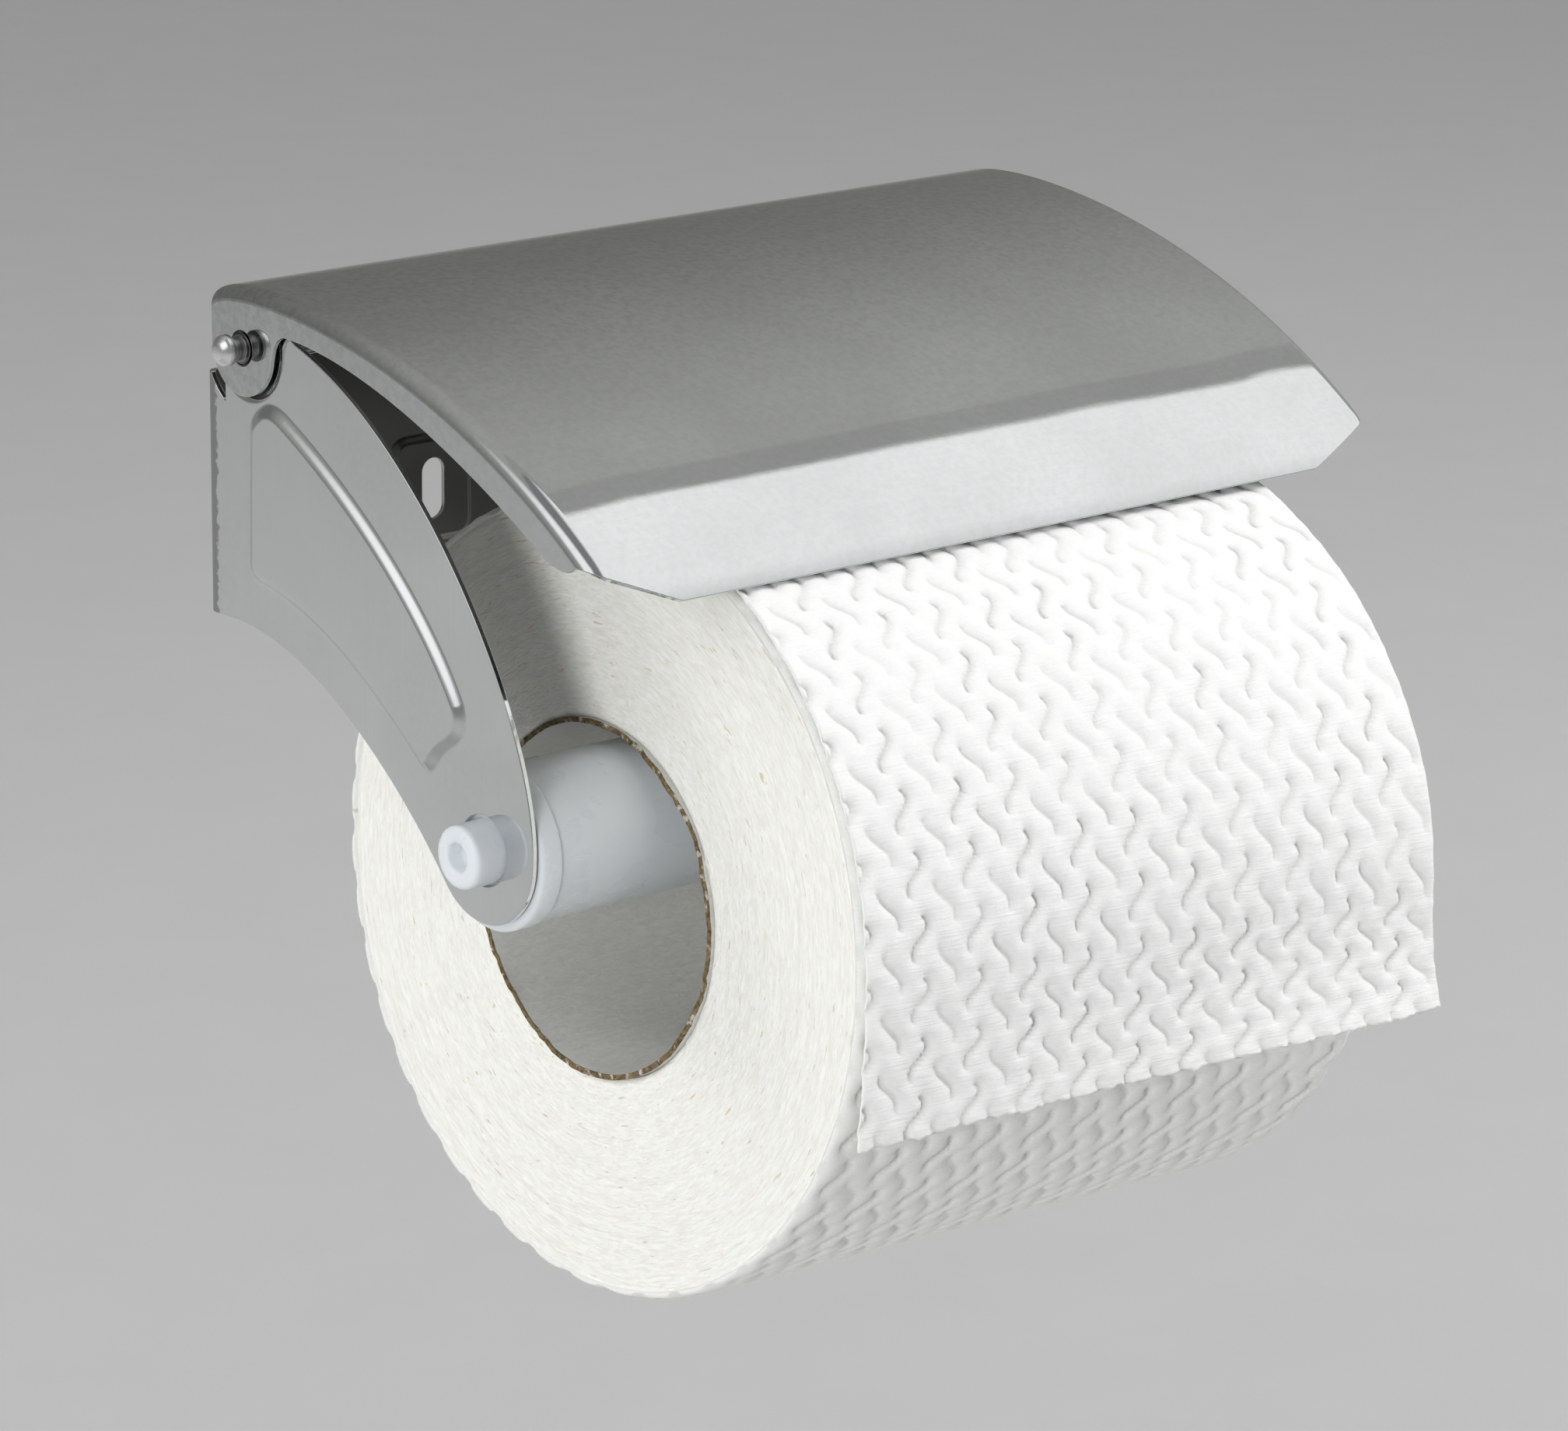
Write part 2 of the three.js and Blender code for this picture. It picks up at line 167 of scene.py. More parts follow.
def wound(loop, anticlockwise):
    """The loop, running the way that is asked for."""
    after = np.roll(loop, -1, axis=0)
    area = (loop[:, 0] * after[:, 1] - loop[:, 1] * after[:, 0]).sum()
    return loop if (area > 0) == anticlockwise else loop[::-1]


def in_chunks(function, points, *rest, size=4000):
    parts = [function(points[i : i + size], *rest) for i in range(0, max(1, len(points)), size)]
    return np.concatenate(parts)


def _inside(points, loop):
    x, y = points[:, :1], points[:, 1:]
    a, b = loop, np.roll(loop, -1, axis=0)
    crosses = (a[:, 1] > y) != (b[:, 1] > y)
    rise = b[:, 1] - a[:, 1]
    rise = np.where(rise == 0, 1e-12, rise)
    at = (b[:, 0] - a[:, 0]) * (y - a[:, 1]) / rise + a[:, 0]
    return (crosses & (x < at)).sum(1) % 2 == 1


def _distance(points, loop):
    a = loop
    ab = np.roll(loop, -1, axis=0) - a
    ap = points[:, None] - a
    t = np.clip((ap * ab).sum(-1) / np.maximum((ab * ab).sum(-1), 1e-12), 0, 1)
    return np.linalg.norm(ap - t[..., None] * ab, axis=-1).min(1)


def depth_inside(points, loop):
    """How far inside a closed line each point is; negative outside."""
    far = in_chunks(_distance, points, loop)
    return np.where(in_chunks(_inside, points, loop), far, -far)


def smooth(value, start, end):
    t = np.clip((value - start) / (end - start), 0, 1)
    return t * t * (3 - 2 * t)


def value_noise(x, y, seed):
    """Smooth noise from -1 to 1, about one bump per unit."""
    xi, yi = np.floor(x).astype(int), np.floor(y).astype(int)

    def corner(i, j):
        n = (xi + i) * 374761393 + (yi + j) * 668265263 + seed * 982451653
        n = (n ^ (n >> 13)) * 1274126177
        return ((n ^ (n >> 16)) & 0xFFFF) / 32767.5 - 1

    u, v = smooth(x - xi, 0, 1), smooth(y - yi, 0, 1)
    low = corner(0, 0) * (1 - u) + corner(1, 0) * u
    high = corner(0, 1) * (1 - u) + corner(1, 1) * u
    return low * (1 - v) + high * v


# ---------- meshes ----------
def make_object(name, points, faces, material, body, replaces=(), normals=None, uv=None):
    mesh = bpy.data.meshes.new(name)
    mesh.from_pydata((np.asarray(points) * MM).tolist(), [], faces)
    mesh.validate()
    if normals is None:
        fix_winding(mesh)
    mesh.shade_smooth()
    if uv is not None:
        layer = mesh.uv_layers.new(name="paper")
        corners = np.zeros(len(mesh.loops), np.int32)
        mesh.loops.foreach_get("vertex_index", corners)
        layer.data.foreach_set("uv", np.asarray(uv, np.float32)[corners].ravel())
    if normals is not None:
        fix_winding(mesh)
        mesh.normals_split_custom_set_from_vertices(np.asarray(normals).tolist())
    obj = bpy.data.objects.new(name, mesh)
    bpy.context.scene.collection.objects.link(obj)
    mesh.materials.append(material)
    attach(obj, body)
    if replaces:
        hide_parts(*replaces)
    return obj


def fix_winding(mesh):
    work = bmesh.new()
    work.from_mesh(mesh)
    bmesh.ops.recalc_face_normals(work, faces=work.faces)
    work.to_mesh(mesh)
    work.free()


def mark(obj, name, values):
    """A number at each corner, for the material to read."""
    attribute = obj.data.attributes.new(name, "FLOAT", "POINT")
    attribute.data.foreach_set("value", np.asarray(values, np.float32).ravel())


def sharpen(obj, degrees):
    obj.data.set_sharp_from_angle(angle=math.radians(degrees))


def triangles_between(loops, inner):
    """Delaunay triangles over the loops' points and the inner points, inside the first loop and
    outside the others."""
    points = np.vstack([*loops, inner])
    edges, start = [], 0
    for loop in loops:
        count = len(loop)
        edges += [(start + i, start + (i + 1) % count) for i in range(count)]
        start += count
    made = delaunay_2d_cdt([Vector(p) for p in points.tolist()], edges, [], 0, 1e-7)
    source = [ids[0] for ids in made[3]]
    faces = np.array([[source[i] for i in face] for face in made[2]])
    middle = points[faces].mean(1)
    keep = in_chunks(_inside, middle, loops[0])
    for hole in loops[1:]:
        keep &= ~in_chunks(_inside, middle, hole)
    return points, faces[keep]


def pressed_sheet(loops, inner, place, thickness=SHEET, edge=EDGE, steps=3):
    """A sheet of steel with rounded edges: (points, faces, normals, inner face). The first loop is its
    outline in the flat and the others are its holes. place(u, v) gives the outer face and its normal."""
    loops = [wound(loop, k == 0) for k, loop in enumerate(loops)]
    outward = []
    for loop in loops:
        along = np.roll(loop, -1, axis=0) - np.roll(loop, 1, axis=0)
        outward.append(unit(np.column_stack((along[:, 1], -along[:, 0]))))
    insets = [loop - out * edge for loop, out in zip(loops, outward)]
    room = np.min([in_chunks(_distance, inner, loop) for loop in insets], axis=0)
    inside = in_chunks(_inside, inner, insets[0])
    for hole in insets[1:]:
        inside &= ~in_chunks(_inside, inner, hole)
    flat, faces = triangles_between(insets, inner[inside & (room > 0.15)])

    def put(at, depth, tilt, out, side):
        base, normal = place(at[:, 0], at[:, 1])
        step = 0.02
        across = place(at[:, 0] + step, at[:, 1])[0] - place(at[:, 0] - step, at[:, 1])[0]
        up = place(at[:, 0], at[:, 1] + step)[0] - place(at[:, 0], at[:, 1] - step)[0]
        true = unit(np.cross(across, up))
        true *= np.sign((true * normal).sum(1))[:, None]
        point = base - normal * depth
        if out is None:
            return point, true * side
        sideways = unit(across * out[:, :1] + up * out[:, 1:])
        return point, true * side * math.cos(tilt) + sideways * math.sin(tilt)

    count = len(flat)
    parts = [put(flat, 0, 0, None, 1), put(flat, thickness, 0, None, -1)]
    quads, total, start = [], 2 * count, 0
    for inset, out in zip(insets, outward):
        size = len(inset)
        rings = [np.arange(start, start + size)]
        for side, order in ((1, range(1, steps + 1)), (-1, range(steps, 0, -1))):
            for k in order:
                tilt = math.pi / 2 * k / steps
                sink = edge * (1 - math.cos(tilt))
                depth = sink if side > 0 else thickness - sink
                parts.append(put(inset + out * edge * math.sin(tilt), depth, tilt, out, side))
                rings.append(np.arange(total, total + size))
                total += size
        rings.append(np.arange(count + start, count + start + size))
        for low, high in zip(rings[:-1], rings[1:]):
            quads += np.column_stack((low, np.roll(low, -1), np.roll(high, -1), high)).tolist()
        start += size
    points = np.vstack([p for p, _ in parts])
    normals = np.vstack([n for _, n in parts])
    lower = (faces[:, ::-1] + count).tolist()
    inner_face = np.zeros(len(points), np.float32)
    inner_face[count : 2 * count] = 1
    return points, faces.tolist() + lower + quads, normals, inner_face


def grid_points(u, v):
    uu, vv = np.meshgrid(u, v)
    return np.column_stack((uu.ravel(), vv.ravel()))


def grid_faces(rows, columns, wrap_rows=False, wrap_columns=False, offset=0):
    i = np.arange(rows if wrap_rows else rows - 1)
    j = np.arange(columns if wrap_columns else columns - 1)
    ii, jj = np.meshgrid(i, j, indexing="ij")
    a, b = ii * columns + jj, ii * columns + (jj + 1) % columns
    c, d = (ii + 1) % rows * columns + (jj + 1) % columns, (ii + 1) % rows * columns + jj
    return (np.stack((a, b, c, d), -1).reshape(-1, 4) + offset).tolist()


def rounded(profile, radius, steps=4):
    """A line of (x, r) points with each inner corner rounded. A third number is a corner's own radius."""
    points = [np.array(p[:2], float) for p in profile]
    radii = [p[2] if len(p) > 2 else radius for p in profile]
    made = [points[0]]
    for before, at, after, size in zip(points[:-2], points[1:-1], points[2:], radii[1:-1]):
        a, b = before - at, after - at
        la, lb = np.linalg.norm(a), np.linalg.norm(b)
        reach = min(size, 0.45 * la, 0.45 * lb)
        made.append(at + a / la * reach)
        made += list(bezier([at + a / la * reach, at, at + b / lb * reach], steps))
    return np.array([*made, points[-1]])


def turned(profile, centre, segments):
    """A profile of (x, r) turned about a line along X: (points, faces). It starts and ends on the axis
    or closes on itself."""
    closed = np.allclose(profile[0], profile[-1])
    line = profile[:-1] if closed else profile
    points = around_x(line[:, :1], line[:, 1:], full_turn(segments)).reshape(-1, 3) + np.array(centre)
    faces = grid_faces(len(line), segments, wrap_rows=closed, wrap_columns=True)
    if not closed:
        faces = cap_ends(faces, len(line), segments)
    return points, faces


def cap_ends(faces, rows, segments):
    """Faces with the rings that lie on the axis shrunk to one corner each."""
    last = (rows - 1) * segments
    same = {i: 0 for i in range(segments)} | {last + i: last for i in range(segments)}
    made = []
    for face in faces:
        corners = list(dict.fromkeys(same.get(i, i) for i in face))
        if len(corners) > 2:
            made.append(corners)
    return made


# ---------- materials ----------
class Nodes:
    """A material's node tree, built with short calls."""

    def __init__(self, name):
        self.material = bpy.data.materials.new(name)
        self.material.use_nodes = True
        self.tree = self.material.node_tree
        self.shader = self.tree.nodes["Principled BSDF"]
        self.place = self.tree.nodes.new("ShaderNodeTexCoord")

    def put(self, socket, value):
        if hasattr(value, "links"):
            self.tree.links.new(value, socket)
        else:
            socket.default_value = value

    def set(self, **values):
        for name, value in values.items():
            self.put(self.shader.inputs[name.replace("_", " ")], value)

    def scaled(self, scale, source="Object"):
        """The point in metres, times scale (along each axis, or one number for all)."""
        node = self.tree.nodes.new("ShaderNodeMapping")
        if source == "layers":
            layers = self.tree.nodes.new("ShaderNodeAttribute")
            layers.attribute_name = source
            self.put(node.inputs["Vector"], layers.outputs["Vector"])
        else:
            self.put(node.inputs["Vector"], self.place.outputs[source])
        self.put(node.inputs["Scale"], scale if isinstance(scale, tuple) else (scale,) * 3)
        return node.outputs["Vector"]

    def noise(self, scale, source="Object", detail=3.0, roughness=0.55, distortion=0.0):
        node = self.tree.nodes.new("ShaderNodeTexNoise")
        self.put(node.inputs["Vector"], self.scaled(scale, source))
        self.put(node.inputs["Scale"], 1.0)
        self.put(node.inputs["Detail"], detail)
        self.put(node.inputs["Roughness"], roughness)
        self.put(node.inputs["Distortion"], distortion)
        return node.outputs["Fac"]

    def spread(self, value, low, high, to_low=0.0, to_high=1.0):
        node = self.tree.nodes.new("ShaderNodeMapRange")
        self.put(node.inputs["Value"], value)
        for name, number in zip(("From Min", "From Max", "To Min", "To Max"), (low, high, to_low, to_high)):
            self.put(node.inputs[name], number)
        return node.outputs["Result"]

    def math(self, operation, a, b):
        node = self.tree.nodes.new("ShaderNodeMath")
        node.operation = operation
        self.put(node.inputs[0], a)
        self.put(node.inputs[1], b)
        return node.outputs["Value"]

    def mix(self, factor, a, b):
        node = self.tree.nodes.new("ShaderNodeMix")
        node.data_type = "RGBA"
        self.put(node.inputs["Factor"], factor)
        self.put(node.inputs[6], (*a, 1) if isinstance(a, tuple) else a)
        self.put(node.inputs[7], (*b, 1) if isinstance(b, tuple) else b)
        return node.outputs[2]

    def bump(self, height, distance, strength=1.0, under=None):
        node = self.tree.nodes.new("ShaderNodeBump")
        self.put(node.inputs["Height"], height)
        self.put(node.inputs["Distance"], distance)
        self.put(node.inputs["Strength"], strength)
        if under is not None:
            self.put(node.inputs["Normal"], under)
        return node.outputs["Normal"]

    def along(self, axis):
        """Where the point is along X, Y or Z, in metres."""
        split = self.tree.nodes.new("ShaderNodeSeparateXYZ")
        self.put(split.inputs[0], self.place.outputs["Object"])
        return split.outputs[axis]

    def attribute(self, name):
        node = self.tree.nodes.new("ShaderNodeAttribute")
        node.attribute_name = name
        return node.outputs["Fac"]


def polished_steel(name, grain, tint=(0.72, 0.73, 0.73), dull_shade_from=0.05, wear=0.78):
    """Polished sheet with a fine grain; grain is the scale per metre along X, Y and Z. Behind a set depth
    along Y (metres) lies the bend, which the polishing wheel doesn't reach: it is rougher there and has
    painted shade, a darker colour that stands in for a dark reflection. The marked inner face gets the same
    roughness and painted shade. Wear is the shade left in the fine spots."""
    n = Nodes(name)
    streaks = n.noise(grain, detail=4)
    cloud = n.noise(45, detail=3)
    speckle = n.noise(900, detail=2)
    dark = tuple(0.9 * c for c in tint)
    shade = n.mix(n.spread(cloud, 0.3, 0.7), dark, tint)
    shade = n.mix(n.spread(streaks, 0.38, 0.62, 0.0, 0.22), shade, tuple(0.86 * c for c in tint))
    rough = n.math("ADD", n.spread(streaks, 0.3, 0.7, 0.02, 0.045), n.spread(cloud, 0.3, 0.7, 0.0, 0.01))
    depth = n.along("Y")
    worn = n.spread(depth, -0.075, -0.01, 0.25, 1.0)
    worn = n.math("MULTIPLY", worn, n.spread(speckle, 0.40, 0.66))
    shade = n.mix(worn, shade, tuple(wear * c for c in tint))
    back = n.math("ADD", depth, n.spread(speckle, 0.2, 0.8, -0.0006, 0.0006))
    # painted shade: on the bend behind the set depth and on the marked inner face the colour is darkened,
    # standing in for shade and dark reflections; the roughness rises there too
    dull_and_painted_shade = n.spread(back, dull_shade_from, dull_shade_from + 0.0003, 0.0, 0.75)
    dull_and_painted_shade = n.math("MAXIMUM", dull_and_painted_shade, n.attribute("unpolished_painted_shade"))
    shade = n.mix(dull_and_painted_shade, shade, (0.30, 0.30, 0.29))
    rough = n.math("ADD", rough, n.math("MULTIPLY", dull_and_painted_shade, 0.3))
    normal = n.bump(streaks, 0.00001, 0.07)
    normal = n.bump(speckle, 0.00002, 0.04, normal)
    n.set(Base_Color=shade, Metallic=1.0, Roughness=rough, Normal=normal)
    return n.material


def turned_steel():
    """The rod's end: turned, with fine dark and light rings, a darker mottle, and a painted highlight on the
    domed heads.
    """
    n = Nodes("turned_steel")
    rings = n.noise((5200, 30, 30), detail=2)
    cloud = n.noise(500, detail=3)
    shade = n.mix(n.spread(rings, 0.35, 0.62), (0.10, 0.10, 0.10), (0.50, 0.50, 0.50))
    shade = n.mix(n.spread(cloud, 0.45, 0.7, 0.0, 0.25), shade, (0.20, 0.195, 0.19))
    # painted highlight: the domed heads at both ends are painted near white, standing in for their reflection
    head_highlight = n.spread(n.math("ABSOLUTE", n.along("X"), 0.0), 0.0750, 0.0754)
    shade = n.mix(head_highlight, shade, (0.88, 0.88, 0.87))
    normal = n.bump(rings, 0.00006, 0.5)
    n.set(Base_Color=shade, Metallic=1.0, Roughness=n.spread(rings, 0.3, 0.7, 0.16, 0.34), Normal=normal)
    return n.material


def spring_steel():
    n = Nodes("spring_steel")
    drawn = n.noise((900, 2500, 2500), detail=3)
    shade = n.mix(n.spread(drawn, 0.35, 0.65), (0.36, 0.36, 0.37), (0.55, 0.55, 0.56))
    n.set(Base_Color=shade, Metallic=1.0, Roughness=n.spread(drawn, 0.3, 0.7, 0.25, 0.42))
    n.set(Normal=n.bump(drawn, 0.00003, 0.4))
    return n.material


def white_plastic():
    """Moulded polypropylene: bluish white, glossy, slightly translucent."""
    n = Nodes("white_plastic")
    cloud = n.noise(70, detail=3)
    fine = n.noise(1500, detail=2)
    scuffs = n.noise((160, 1100, 1100), detail=3, distortion=1.2)
    shade = n.mix(n.spread(cloud, 0.3, 0.7), (0.70, 0.74, 0.78), (0.76, 0.79, 0.82))
    shade = n.mix(n.spread(scuffs, 0.62, 0.74, 0.0, 0.06), shade, (0.74, 0.75, 0.76))
    rough = n.math("ADD", n.spread(cloud, 0.3, 0.7, 0.24, 0.32), n.spread(scuffs, 0.6, 0.75, 0.0, 0.08))
    normal = n.bump(fine, 0.00003, 0.2)
    n.set(Base_Color=shade, Roughness=rough, Normal=n.bump(cloud, 0.0001, 0.15, normal))
    n.set(Subsurface_Weight=0.25, Subsurface_Scale=0.003, Subsurface_Radius=(1.0, 1.0, 1.1))
    n.set(Coat_Weight=0.15, Coat_Roughness=0.12)
    return n.material


def tissue(name, white, shadow, groove_shade):
    """Soft creped paper: the crepe's tiny folds run across the web, with loose fibres on top. Where the paper
    is pressed in, it is painted darker, as painted shade in the grooves.
    """
    n = Nodes(name)
    crepe = n.noise((160, 2600, 1), "UV", detail=3, distortion=0.6)
    fibres = n.noise((900, 900, 1), "UV", detail=6, roughness=0.7, distortion=1.4)
    cloud = n.noise(60, detail=3)
    shade = n.mix(n.spread(fibres, 0.3, 0.7), shadow, white)
    shade = n.mix(n.spread(cloud, 0.35, 0.7, 0.0, 0.3), shade, shadow)
    # painted shade: the paper is darkened where it is pressed in, standing in for shade in the grooves
    shade = n.mix(n.spread(n.attribute("pressed"), 0.2, 1.2), shade, groove_shade)
    normal = n.bump(crepe, 0.0002, 0.6)
    normal = n.bump(fibres, 0.00016, 0.35, normal)
    n.set(Base_Color=shade, Roughness=0.96, Normal=normal)
    n.set(Subsurface_Weight=0.18, Subsurface_Scale=0.0012, Subsurface_Radius=(1.0, 1.0, 0.95))
    n.set(Specular_IOR_Level=0.15, Sheen_Weight=0.12, Sheen_Roughness=0.6)
    return n.material


def wound_edge():
    """The roll's cut faces: hundreds of wavy paper edges with yellow-brown flecks. The attribute holds
    the radius and a place on a ring, so that the pattern closes on itself."""
    n = Nodes("wound_edge")
    layers = n.noise((2400, 420, 420), "layers", detail=4, distortion=0.9)
    waves = n.noise((700, 260, 260), "layers", detail=3, distortion=0.6)
    flecks = n.noise((1700, 330, 330), "layers", detail=2, distortion=0.4)
    shade = n.mix(n.spread(layers, 0.32, 0.60), (0.83, 0.82, 0.76), (0.93, 0.93, 0.89))
    shade = n.mix(n.spread(flecks, 0.675, 0.73, 0.0, 0.55), shade, (0.55, 0.42, 0.20))
    normal = n.bump(layers, 0.0005, 0.5)
    normal = n.bump(waves, 0.0008, 0.35, normal)
    n.set(Base_Color=shade, Roughness=0.97, Normal=normal, Specular_IOR_Level=0.12)
    n.set(Subsurface_Weight=0.15, Subsurface_Scale=0.001, Subsurface_Radius=(1.0, 0.98, 0.9))
    return n.material


def cardboard():
    """Grey recycled board with fibres; brown and dirty at the cut ends."""
    n = Nodes("cardboard")
    fibres = n.noise((500, 1300, 1300), detail=6, roughness=0.65, distortion=0.8)
    spots = n.noise(700, detail=3)
    cloud = n.noise(60, detail=2)
    inside = n.mix(n.spread(fibres, 0.3, 0.7), (0.62, 0.62, 0.59), (0.78, 0.78, 0.75))
    inside = n.mix(n.spread(cloud, 0.35, 0.65, 0.0, 0.35), inside, (0.66, 0.64, 0.60))
    cut = n.mix(n.spread(fibres, 0.35, 0.65), (0.06, 0.042, 0.022), (0.27, 0.20, 0.11))
    cut = n.mix(n.spread(spots, 0.56, 0.66, 0.0, 0.8), cut, (0.66, 0.62, 0.54))
    edge = n.math("ADD", n.attribute("cut_end"), n.spread(spots, 0.3, 0.7, -0.2, 0.2))
    shade = n.mix(n.spread(edge, 0.35, 0.6), inside, cut)
    n.set(Base_Color=shade, Roughness=0.92, Normal=n.bump(fibres, 0.0002, 0.4))
    n.set(Specular_IOR_Level=0.2)
    return n.material


# ---------- bracket ----------
PLATE_FLAT = ARM_FACE - BEND
BEND_FLAT = BEND * math.pi / 2


def arm_to_flat(points):
    """(Y, Z) on an arm or its bend, as (u, v) on the sheet unfolded."""
    y, z = points[:, 0], points[:, 1]
    round_bend = np.arccos(np.clip((y + BEND) / BEND, -1, 1)) * BEND
    u = np.where(y < -BEND, BEND_FLAT - BEND - y, round_bend)
    return np.column_stack((PLATE_FLAT + u, z))


def arm_outline():
    lug_top = HINGE[1] + LUG
    lug_back = math.degrees(math.acos(LUG / SWEEP))
    shoulder = math.degrees(math.asin((HINGE[1] - PLATE_HALF_HEIGHT) / SWEEP))
    lower = bezier([(-6, -PLATE_HALF_HEIGHT), (-24, -PLATE_HALF_HEIGHT), (-43.5, -32.5), (-53.75, -44.7)], 60)
    tip = arc(ARM_TIP["at"], ARM_TIP["radius"], -41, -180, 40)
    upper = bezier([tip[-1], (-73.5, -20), (-50, 15), (-21, 24.2)], 90)
    brow = bezier([(-21, 24.2), (-14.5, lug_top), (HINGE[0], lug_top)], 14)
    lug = arc(HINGE, LUG, 90, 0, 16)
    sweep = arc(HINGE, SWEEP, -lug_back, -shoulder, 12)
    start = [(0, -PLATE_HALF_HEIGHT), (-6, -PLATE_HALF_HEIGHT)]
    return np.vstack([start, lower, tip, upper, brow, lug, sweep, [(0, PLATE_HALF_HEIGHT)]])


def arm_panel():
    points = [np.array([(-10.2, 10.3), (-9.8, -8)])]
    points.append(bezier([(-9.8, -8), (-9.8, -11.1), (-13, -11.5)], 10))
    points.append(bezier([(-13, -11.5), (-25, -13.2), (-36, -19.5), (-48.2, -29.4)], 30))
    points.append(bezier([(-48.2, -29.4), (-50.4, -31), (-52, -28.6)], 8))
    points.append(bezier([(-52, -28.6), (-53.2, -26.6), (-55.4, -25.4)], 8))
    points.append(bezier([(-55.4, -25.4), (-59.6, -22.6), (-57.9, -18.6)], 12))
    points.append(bezier([(-57.9, -18.6), (-52, -8.5), (-38, 4.5), (-19, 14.2)], 40))
    points.append(bezier([(-19, 14.2), (-15.5, 15.9), (-13.2, 14.4)], 8))
    points.append(bezier([(-13.2, 14.4), (-10.3, 12.6), (-10.2, 10.3)], 8))
    return closed_line(np.vstack(points), 0.5)


def rounded_box(width, height, corner):
    x, y = width / 2 - corner, height / 2 - corner
    turns = [arc((sx * x, sy * y), corner, a, a + 90, 10) for sx, sy, a in QUARTERS]
    return closed_line(np.vstack(turns), 0.5)


QUARTERS = ((1, 1, 0), (-1, 1, 90), (-1, -1, 180), (1, -1, 270))


def bracket_height(u, v, panel, pads):
    """How far the pressed shapes stand out from the sheet's outer face."""
    points = np.column_stack((np.abs(u), v))
    height = np.zeros(len(u))
    on_arm = points[:, 0] > PLATE_FLAT + BEND_FLAT
    arm = points[on_arm]
    rise = PANEL_HEIGHT * smooth(depth_inside(arm, panel), 0, PANEL_WALL)
    hinge = arm_to_flat(HINGE[None])[0]
    inside = DISH["radius"] - np.linalg.norm(arm - hinge, axis=1)
    height[on_arm] = rise - DISH["depth"] * smooth(inside, 0, DISH["wall"])
    on_plate = points[:, 0] < PLATE_FLAT
    height[on_plate] = -PAD["rise"] * smooth(depth_inside(points[on_plate], pads), 0, PAD["wall"])
    return height


def bracket_place(u, v, panel, pads):
    side = np.sign(u)
    turn = np.clip((np.abs(u) - PLATE_FLAT) / BEND, 0, math.pi / 2)
    beyond = np.maximum(np.abs(u) - PLATE_FLAT - BEND_FLAT, 0)
    flat_x = np.minimum(np.abs(u), PLATE_FLAT)
    normal = np.column_stack((side * np.sin(turn), np.cos(turn), 0 * u))
    x = side * (flat_x + BEND * np.sin(turn))
    y = BEND * (np.cos(turn) - 1) - beyond
    height = bracket_height(u, v, panel, pads)
    return np.column_stack((x, y, v)) + normal * height[:, None], normal


def wall_points(loop, width, count):
    """Points over a pressed wall just inside a line, in rows that run along it."""
    loop = wound(loop, True)
    along = np.roll(loop, -1, axis=0) - np.roll(loop, 1, axis=0)
    inward = unit(np.column_stack((-along[:, 1], along[:, 0])))
    made = []
    for depth in np.linspace(-0.05, width + 0.05, count):
        row = loop + inward * depth
        made.append(row[np.abs(depth_inside(row, loop) - depth) < 0.06])
    return np.vstack(made)


def clear_of(points, loop, reach):
    return points[in_chunks(_distance, points, loop) > reach]


def make_bracket(material):
    right = arm_to_flat(arm_outline())
    left = right[::-1] * (-1, 1)
    outline = closed_line(np.vstack([right, left]), 0.7)
    panel = arm_to_flat(arm_panel())
    pad = rounded_box(PAD["width"], PAD["height"], PAD["corner"]) + (PAD["x"], PAD["z"])
    slot = rounded_box(SLOT["width"], SLOT["height"], SLOT["width"] / 2 - 0.01) + (PAD["x"], PAD["z"])
    hinge = arm_to_flat(HINGE[None])[0]
    stub = arm_to_flat(np.array([STUB_HOLE["at"]]))[0]
    holes = [slot, arc(hinge, ROD_HOLE, 0, 345, 23), arc(stub, STUB_HOLE["radius"], 0, 352.5, 47)]
    holes += [hole * (-1, 1) for hole in holes]

    reach = np.abs(right[:, 0]).max()
    coarse = grid_points(np.arange(0.6, reach, 1.2), np.arange(-50, 30, 1.2))
    dish = arc(hinge, DISH["radius"], 0, 357, 119)
    walls = [wall_points(panel, PANEL_WALL, 11)]
    walls += [wall_points(pad, PAD["wall"], 6), wall_points(dish, DISH["wall"], 7)]
    for line, width in ((panel, PANEL_WALL), (pad, PAD["wall"]), (dish, DISH["wall"])):
        coarse = clear_of(coarse, line, width + 0.3)
    bend = grid_points(np.linspace(PLATE_FLAT, PLATE_FLAT + BEND_FLAT, 7), np.arange(-17, 17.2, 0.8))
    inner = np.vstack([coarse, *walls, bend])
    inner = np.unique(np.round(inner, 3), axis=0)
    inner = np.vstack([inner, inner * (-1, 1)])

    def place(u, v):
        return bracket_place(u, v, panel, pad)

    points, faces, normals, unpolished_painted_shade = pressed_sheet([outline, *holes], inner, place)
    sheet = make_object(
        "bracket_sheet", points, faces, material, "bracket", ["bracket"], normals
    )
    # the inner face is marked for a rougher finish and for painted shade in the steel's colour
    mark(sheet, "unpolished_painted_shade", unpolished_painted_shade)


